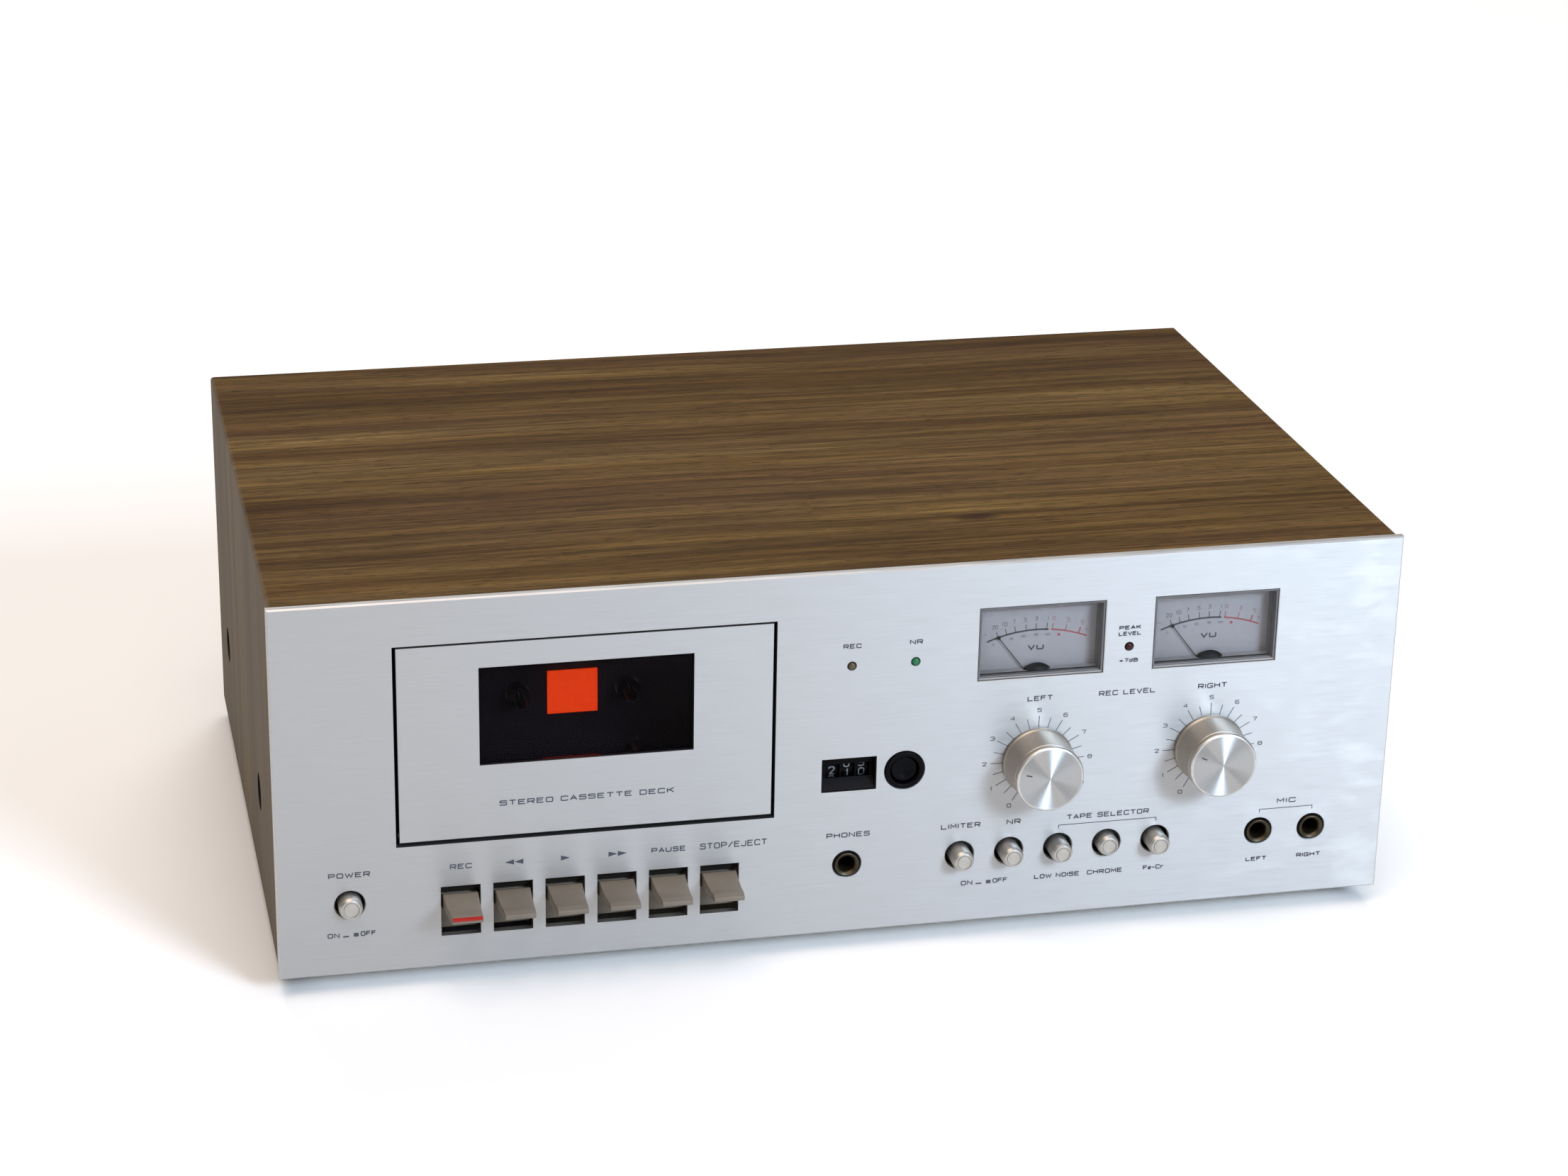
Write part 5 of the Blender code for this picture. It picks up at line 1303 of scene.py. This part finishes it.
def line_jacks():
    """Four line sockets: plated shells, white and red insulators and hexagon nuts on a sheet of phenolic."""
    low, high = span("line_jack_plate")
    at = middle("line_jack_plate")
    front = low.y + 8.0
    back = front + 1.5
    proud = high.y - back
    sheet = made(softened, 0.25, 2, box, (low.x, high.x), (front, back), (low.z, high.z))
    shells = bmesh.new()
    rim = arc((3.75, proud - 0.35), 0.35, 160, 20, 4)
    shell = [(3.4, 0.4)] + rim + [(4.15, 0.4), (4.15, 0.0), (3.4, 0.0)]
    for column in (-1, 1):
        for row in (-1, 1):
            place = (at.x + column * LINE_PITCH, back, at.z + row * LINE_PITCH)
            lathe(shells, shell, place, "back", 48)
            lathe(shells, [(4.2, 1.6), (6.4, 1.6), (6.9, 1.2), (6.9, 0.0), (4.2, 0.0)], place, "back", 6)
            bush = [(1.6, proud - 1.2), (3.35, proud - 1.2), (3.35, 0.0), (1.6, 0.0)]
            merge(sheet, made(lathe, bush, place, "back", 40), 1 if column < 0 else 2)
    for x in about(at.x, 22.5):
        lathe(shells, [(0.0, 0.9), (1.4, 0.8), (2.0, 0.0), (0.0, 0.0)], (x, back, at.z), "back", 24)
    piece("line_jack_sheet", sheet, (PHENOLIC, WHITE_PLASTIC, RED_PLASTIC), replaces=["line_jack_plate"])
    piece("line_jack_shells", shells, NICKEL)


def cord_gland():
    """Ribbed bush, open for a mains cord."""
    node = "mains_cord_gland"
    at = middle(node)
    low, high = span(node)
    front = low.y + 7.0
    proud = high.y - front
    profile = [(3.5, -6.8), (3.5, proud - 0.5)] + arc((4.0, proud - 0.5), 0.5, 180, 90, 3)
    profile += arc((6.9, proud - 0.6), 0.6, 90, 30, 3)
    profile += [(8.8, 0.8), (9.0, 0.5), (9.0, 0.3), (6.2, 0.3), (6.2, -6.8)]
    bush = made(lathe, profile, (at.x, front, at.z), "back", 56)
    piece("mains_cord_bush", bush, BLACK_PLASTIC, replaces=[node])


def rear_details():
    """Screws and legends on the rear panel, and a blank rating plate."""
    low, high = span("rear_panel")
    at, cord = middle("line_jack_plate"), middle("mains_cord_gland")
    screws = bmesh.new()
    for x in (low.x + 8.0, low.x / 2, 0.0, high.x / 2, high.x - 8.0):
        for height in (low.z + 6.0, high.z - 6.0):
            screw_head(screws, (x, high.y, height), "back", 3.2, 1.9)
    piece("rear_screws", screws, ZINC)
    bm = bmesh.new()
    for values in (("LINE IN", at.x + 14.0, 17.0, at.z + 24.0, 2.6),
                   ("LINE OUT", at.x - 14.0, 17.0, at.z + 24.0, 2.6),
                   ("LEFT", at.x + 36.0, 10.0, at.z + LINE_PITCH - 1.2, 2.4),
                   ("RIGHT", at.x + 36.0, 10.0, at.z - LINE_PITCH - 1.2, 2.4),
                   ("AC IN", cord.x, 12.0, cord.z + 13.0, 2.6)):
        back_word(bm, *values)
    piece("rear_legends", bm, WHITE_INK, sharp=20)
    plate = made(softened, 0.2, 2, box, (92.0, 140.0), (high.y + 0.02, high.y + 0.5), (22.0, 46.0))
    for x in (95.0, 137.0):
        lathe(plate, [(0.0, 0.7), (1.0, 0.6), (1.5, 0.0), (0.0, 0.0)], (x, high.y + 0.5, 34.0), "back", 20)
    piece("rating_plate", plate, ZINC)


def feet():
    """Four soft feet with rounded soles and a sunk screw."""
    for node in (f"foot_{end}_{side}" for end in ("front", "rear") for side in SIDES):
        at = middle(node)
        low, high = span(node)
        reach = -low.z
        profile = [(0.0, reach - 4.0), (4.7, reach - 4.0), (5.0, reach - 3.7), (5.0, reach - 0.5)]
        profile += [(5.5, reach)] + arc((9.2, reach - 0.8), 0.8, 90, 10, 4)
        profile += [(10.9, 1.0), (10.9, -high.z), (0.0, -high.z)]
        bm = made(lathe, profile, (at.x, at.y, 0.0), "down", 56)
        merge(bm, made(screw_head, (at.x, at.y, low.z + 4.0), "down", 3.4, 1.6), 1)
        piece(f"{node}_sole", bm, (RUBBER, ZINC), replaces=[node])


def tray_details():
    """Screws on the underside that hold the tray's edges and the transformer."""
    low, high = span("chassis_tray")
    first, last = span("power_transformer")
    rows = (((low.x + 9.0, -70.0, 70.0, high.x - 9.0), (low.y + 8.0, high.y - 8.0)),
            ((first.x + 5.0, last.x - 5.0), (first.y + 5.0, last.y - 5.0)))
    bm = bmesh.new()
    for xs, depths in rows:
        for x in xs:
            for depth in depths:
                screw_head(bm, (x, depth, low.z), "down", 3.0, 1.7)
    piece("tray_screws", bm, ZINC)


# ---------------------------------------------------------------- tape mechanism

def spindle(name):
    """Drive spindle with three tapered blades on a collar."""
    node = f"{name}_spindle"
    at = on_face(node)
    profile = [(0.0, -20.0), (0.9, -20.1), (1.4, -20.7), (2.2, -23.2), (2.2, -29.0), (4.2, -29.3),
               (4.6, -29.8), (4.6, -34.2), (3.4, -34.2), (3.4, -37.0), (13.6, -37.0), (14.0, -37.4),
               (14.0, -40.6), (13.6, -41.0), (0.0, -41.0)]
    bm = made(lathe, profile, at, "front", 48)
    outline = [(23.2, 2.1), (24.6, 3.3), (25.4, 3.6), (30.0, 3.6), (30.0, 1.0), (23.2, 1.0)]
    for turn in (0, 120, 240):
        blade = made(softened, 0.12, 1, extrude_across, outline, about(0.0, 0.55))
        blade.transform(Matrix.Translation(at) @ Matrix.Rotation(math.radians(turn), 4, "Y"))
        merge(bm, blade)
    piece(f"{node}_hub", bm, BLACK_PLASTIC, node, replaces=[node], origin=at)


def heads():
    """Record head with its two cores, erase head, tape guides and roller on their plate."""
    low, high = span("record_play_head")
    at = middle("record_play_head")
    bm = made(softened, 1.1, 4, box, (low.x, high.x), (low.y, high.y), (low.z, high.z - 0.05))
    for depth in about(at.y, 2.0):
        merge(bm, made(box, about(at.x, 0.15), about(depth, 1.1), (high.z - 0.4, high.z)), 1)
    piece("record_head_shell", bm, (POLISHED, BLACK_AND_SHADE), "head_plate", replaces=["record_play_head"])
    x = low.x - 14.0, low.x - 6.5
    erase = made(softened, 0.6, 3, box, x, (low.y + 1.5, high.y), (low.z + 1.5, high.z))
    piece("erase_head", erase, BLACK_PLASTIC, "head_plate")
    guides = bmesh.new()
    for x in (low.x - 2.5, high.x + 2.5):
        for depth in (low.y + 0.5, low.y + 7.5):
            softened(guides, 0.25, 2, box, about(x, 0.9), (depth, depth + 1.0), (low.z + 1.0, high.z + 1.6))
        box(guides, about(x, 0.8), (low.y + 0.6, high.y), (low.z + 0.8, low.z + 2.2))
    piece("tape_guides", guides, STEEL, "head_plate")
    rounded("head_plate", ZINC, 0.3, "head_plate")
    roller, half = middle("pinch_roller"), 3.6
    profile = [(2.6, half), (6.1, half), (6.4, half - 0.3), (6.4, 0.3 - half), (6.1, -half), (2.6, -half)]
    tyre = made(lathe, profile, roller, "front", 56)
    hub = [(1.5, half), (2.5, half), (2.5, -half), (1.5, -half)]
    merge(tyre, made(lathe, hub, roller, "front", 40), 1)
    piece("pinch_roller_tyre", tyre, (RUBBER, STEEL), "pinch_roller", ["pinch_roller"], roller)
    clip = [(0.0, 1.2), (1.6, 1.1), (2.2, 0.7), (2.2, 0.0), (0.0, 0.0)]
    place = (roller.x, roller.y - half - 0.2, roller.z)
    piece("pinch_roller_clip", made(lathe, clip, place, "front", 32), STEEL, "head_plate")


def capstan():
    """Flywheel with a turned rim and the capstan shaft."""
    tip, tail = (-corner.y for corner in span("flywheel"))
    at = on_face("flywheel")
    profile = [(0.0, tip), (1.0, tip - 0.1), (1.2, tip - 0.4), (1.2, -44.0), (6.0, -44.0), (6.4, -44.8),
               (20.0, -44.8), (20.6, -44.0), (25.6, -44.0), (26.0, -44.4), (26.0, -51.6), (25.6, -52.0),
               (1.2, -52.0), (1.2, tail + 0.2), (0.9, tail), (0.0, tail)]
    wheel = made(lathe, profile, at, "front", 72)
    piece("flywheel_turned", wheel, STEEL, "flywheel", replaces=["flywheel"], origin=at)


def power_switch():
    """Switch body behind the power button, on its bracket, with a hole for the button's stem."""
    at = middle("power_button")
    hole = about(at.x, 2.6), about(at.z, 2.6)
    bm = made(softened, 0.5, 2, box, about(at.x, 7.5), (24.0, 50.0), about(at.z, 9.0))
    bm = boolean(bm, made(box, hole[0], (20.0, 44.0), hole[1]))
    plate = made(softened, 0.2, 1, box, about(at.x, 12.0), (22.4, 23.9), (2.2, at.z + 10.0))
    merge(bm, boolean(plate, made(box, hole[0], (20.0, 30.0), hole[1])), 1)
    piece("power_switch_body", bm, (BLACK_PLASTIC, ZINC))


# ---------------------------------------------------------------- camera, stage and lights

FLOOR_SIZE = 20.0
SKY_COLOUR = (1.0, 0.91, 0.82)
SKY_STRENGTH = 0.25
# Each lamp's name, place, target and size in metres in the row frame, power in watts, and colour.
LAMPS_ROUND = (
    ("overhead_light", (-0.7, -1.1, 3.0), (0.0, 0.1, 0.0), 2.4, 63.0, (1.0, 0.84, 0.73)),
    ("window_light", (1.35, -2.4, 1.5), (0.1, -0.1, 0.1), 1.0, 85.0, (0.64, 0.81, 1.0)),
    ("glint_light", (1.15, -2.2, 1.25), (0.1, -0.1, 0.1), 0.22, 13.0, (0.8, 0.87, 1.0)),
    ("side_glint", (-0.58, -2.2, 1.2), (0.1, -0.1, 0.1), 0.2, 3.0, (1.0, 1.0, 1.0)),
    ("back_light", (0.3, 2.9, 3.8), (0.3, 3.1, 0.0), 2.6, 132.0, (1.0, 1.0, 1.0)),
)
# The camera's place in the deck's measures, its turns in degrees, and its lens in millimetres.
VIEWPOINT = (-309.7, -1212.1, 637.8)
VIEW_ANGLES = (68.441, -1.037, -12.714)
FOCAL_LENGTH = 82.09
SENSOR = 36.0


def stage():
    """Pale floor, even sky and soft lamps."""
    bm = bmesh.new()
    bmesh.ops.create_grid(bm, x_segments=8, y_segments=8, size=FLOOR_SIZE)
    mesh = bpy.data.meshes.new("floor")
    bm.to_mesh(mesh)
    bm.free()
    look = Look("pale_floor", (0.86, 0.86, 0.86), 0.9)
    cloud = look.noise(2.0, 2.0)
    look.set("Base Color", look.ramp(cloud, (0.3, (0.84, 0.84, 0.84)), (0.7, (0.87, 0.87, 0.87))))
    mesh.materials.append(look.material)
    placed("floor", mesh)
    world = bpy.data.worlds.new("studio")
    bpy.context.scene.world = world
    world.use_nodes = True
    background = world.node_tree.nodes["Background"]
    background.inputs[0].default_value = (*SKY_COLOUR, 1.0)
    background.inputs[1].default_value = SKY_STRENGTH
    for name, place, target, size, power, colour in LAMPS_ROUND:
        light = bpy.data.lights.new(name, "AREA")
        light.size = size
        light.energy = power
        light.color = colour
        way = Vector(target) - Vector(place)
        placed(name, light, place, way.to_track_quat("-Z", "Y").to_euler())


def camera():
    """The photograph's viewpoint, in front of the deck's left end and above it."""
    data = bpy.data.cameras.new("camera")
    data.sensor_width = SENSOR
    data.lens = FOCAL_LENGTH
    angles = [math.radians(angle) for angle in VIEW_ANGLES]
    bpy.context.scene.camera = placed("camera", data, TO_ROW @ Vector(VIEWPOINT), angles)
    bpy.context.scene.view_settings.view_transform = "Standard"


def paint(material, *nodes):
    """Give a CAD node that stays a better material."""
    for node in nodes:
        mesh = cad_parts[node].data
        mesh.materials.clear()
        mesh.materials.append(material)


camera()
stage()
front_panel()
panel_legends()
door()
door_window()
door_legend()
cabinet()
cabinet_screws()
transport_keys()
key_felt()
for button_name in ("power", *BUTTONS):
    push_button(button_name)
for side_name in SIDES:
    level_knob(side_name)
    meter(side_name)
for jack_name in JACKS:
    jack(jack_name)
for lamp_name, lamp_material in zip(LAMPS, (LAMP_BROWN, LAMP_GREEN, LAMP_RED)):
    lamp(lamp_name, lamp_material)
counter()
for wheel_name, wheel_turn in zip(WHEELS, (72.0, 24.0, -12.0)):
    counter_wheel(wheel_name, wheel_turn)
line_jacks()
cord_gland()
rear_details()
feet()
tray_details()
for spindle_name in ("supply", "takeup"):
    spindle(spindle_name)
heads()
capstan()
power_switch()
rounded("mechanism_plate", WELL_BLACK, 0.3)
rounded("cassette_holder", WELL_BLACK, 0.3, "door")
rounded("rear_panel", BLACK_PAINT, 0.2)
rounded("chassis_tray", ZINC, 0.25)
paint(BLACK_PLASTIC, "meter_case_left", "meter_case_right")
paint(ZINC, "switch_bank", "level_control_left", "level_control_right", "drive_motor")
paint(STEEL, "key_pivot_rod", "door_hinge_pin")
paint(RUBBER, "drive_belt")
paint(ORANGE, "tape_reflector")
paint(BRASS, "motor_pulley")
paint(BOARD_BROWN, "main_board")
paint(LAMINATED, "power_transformer")
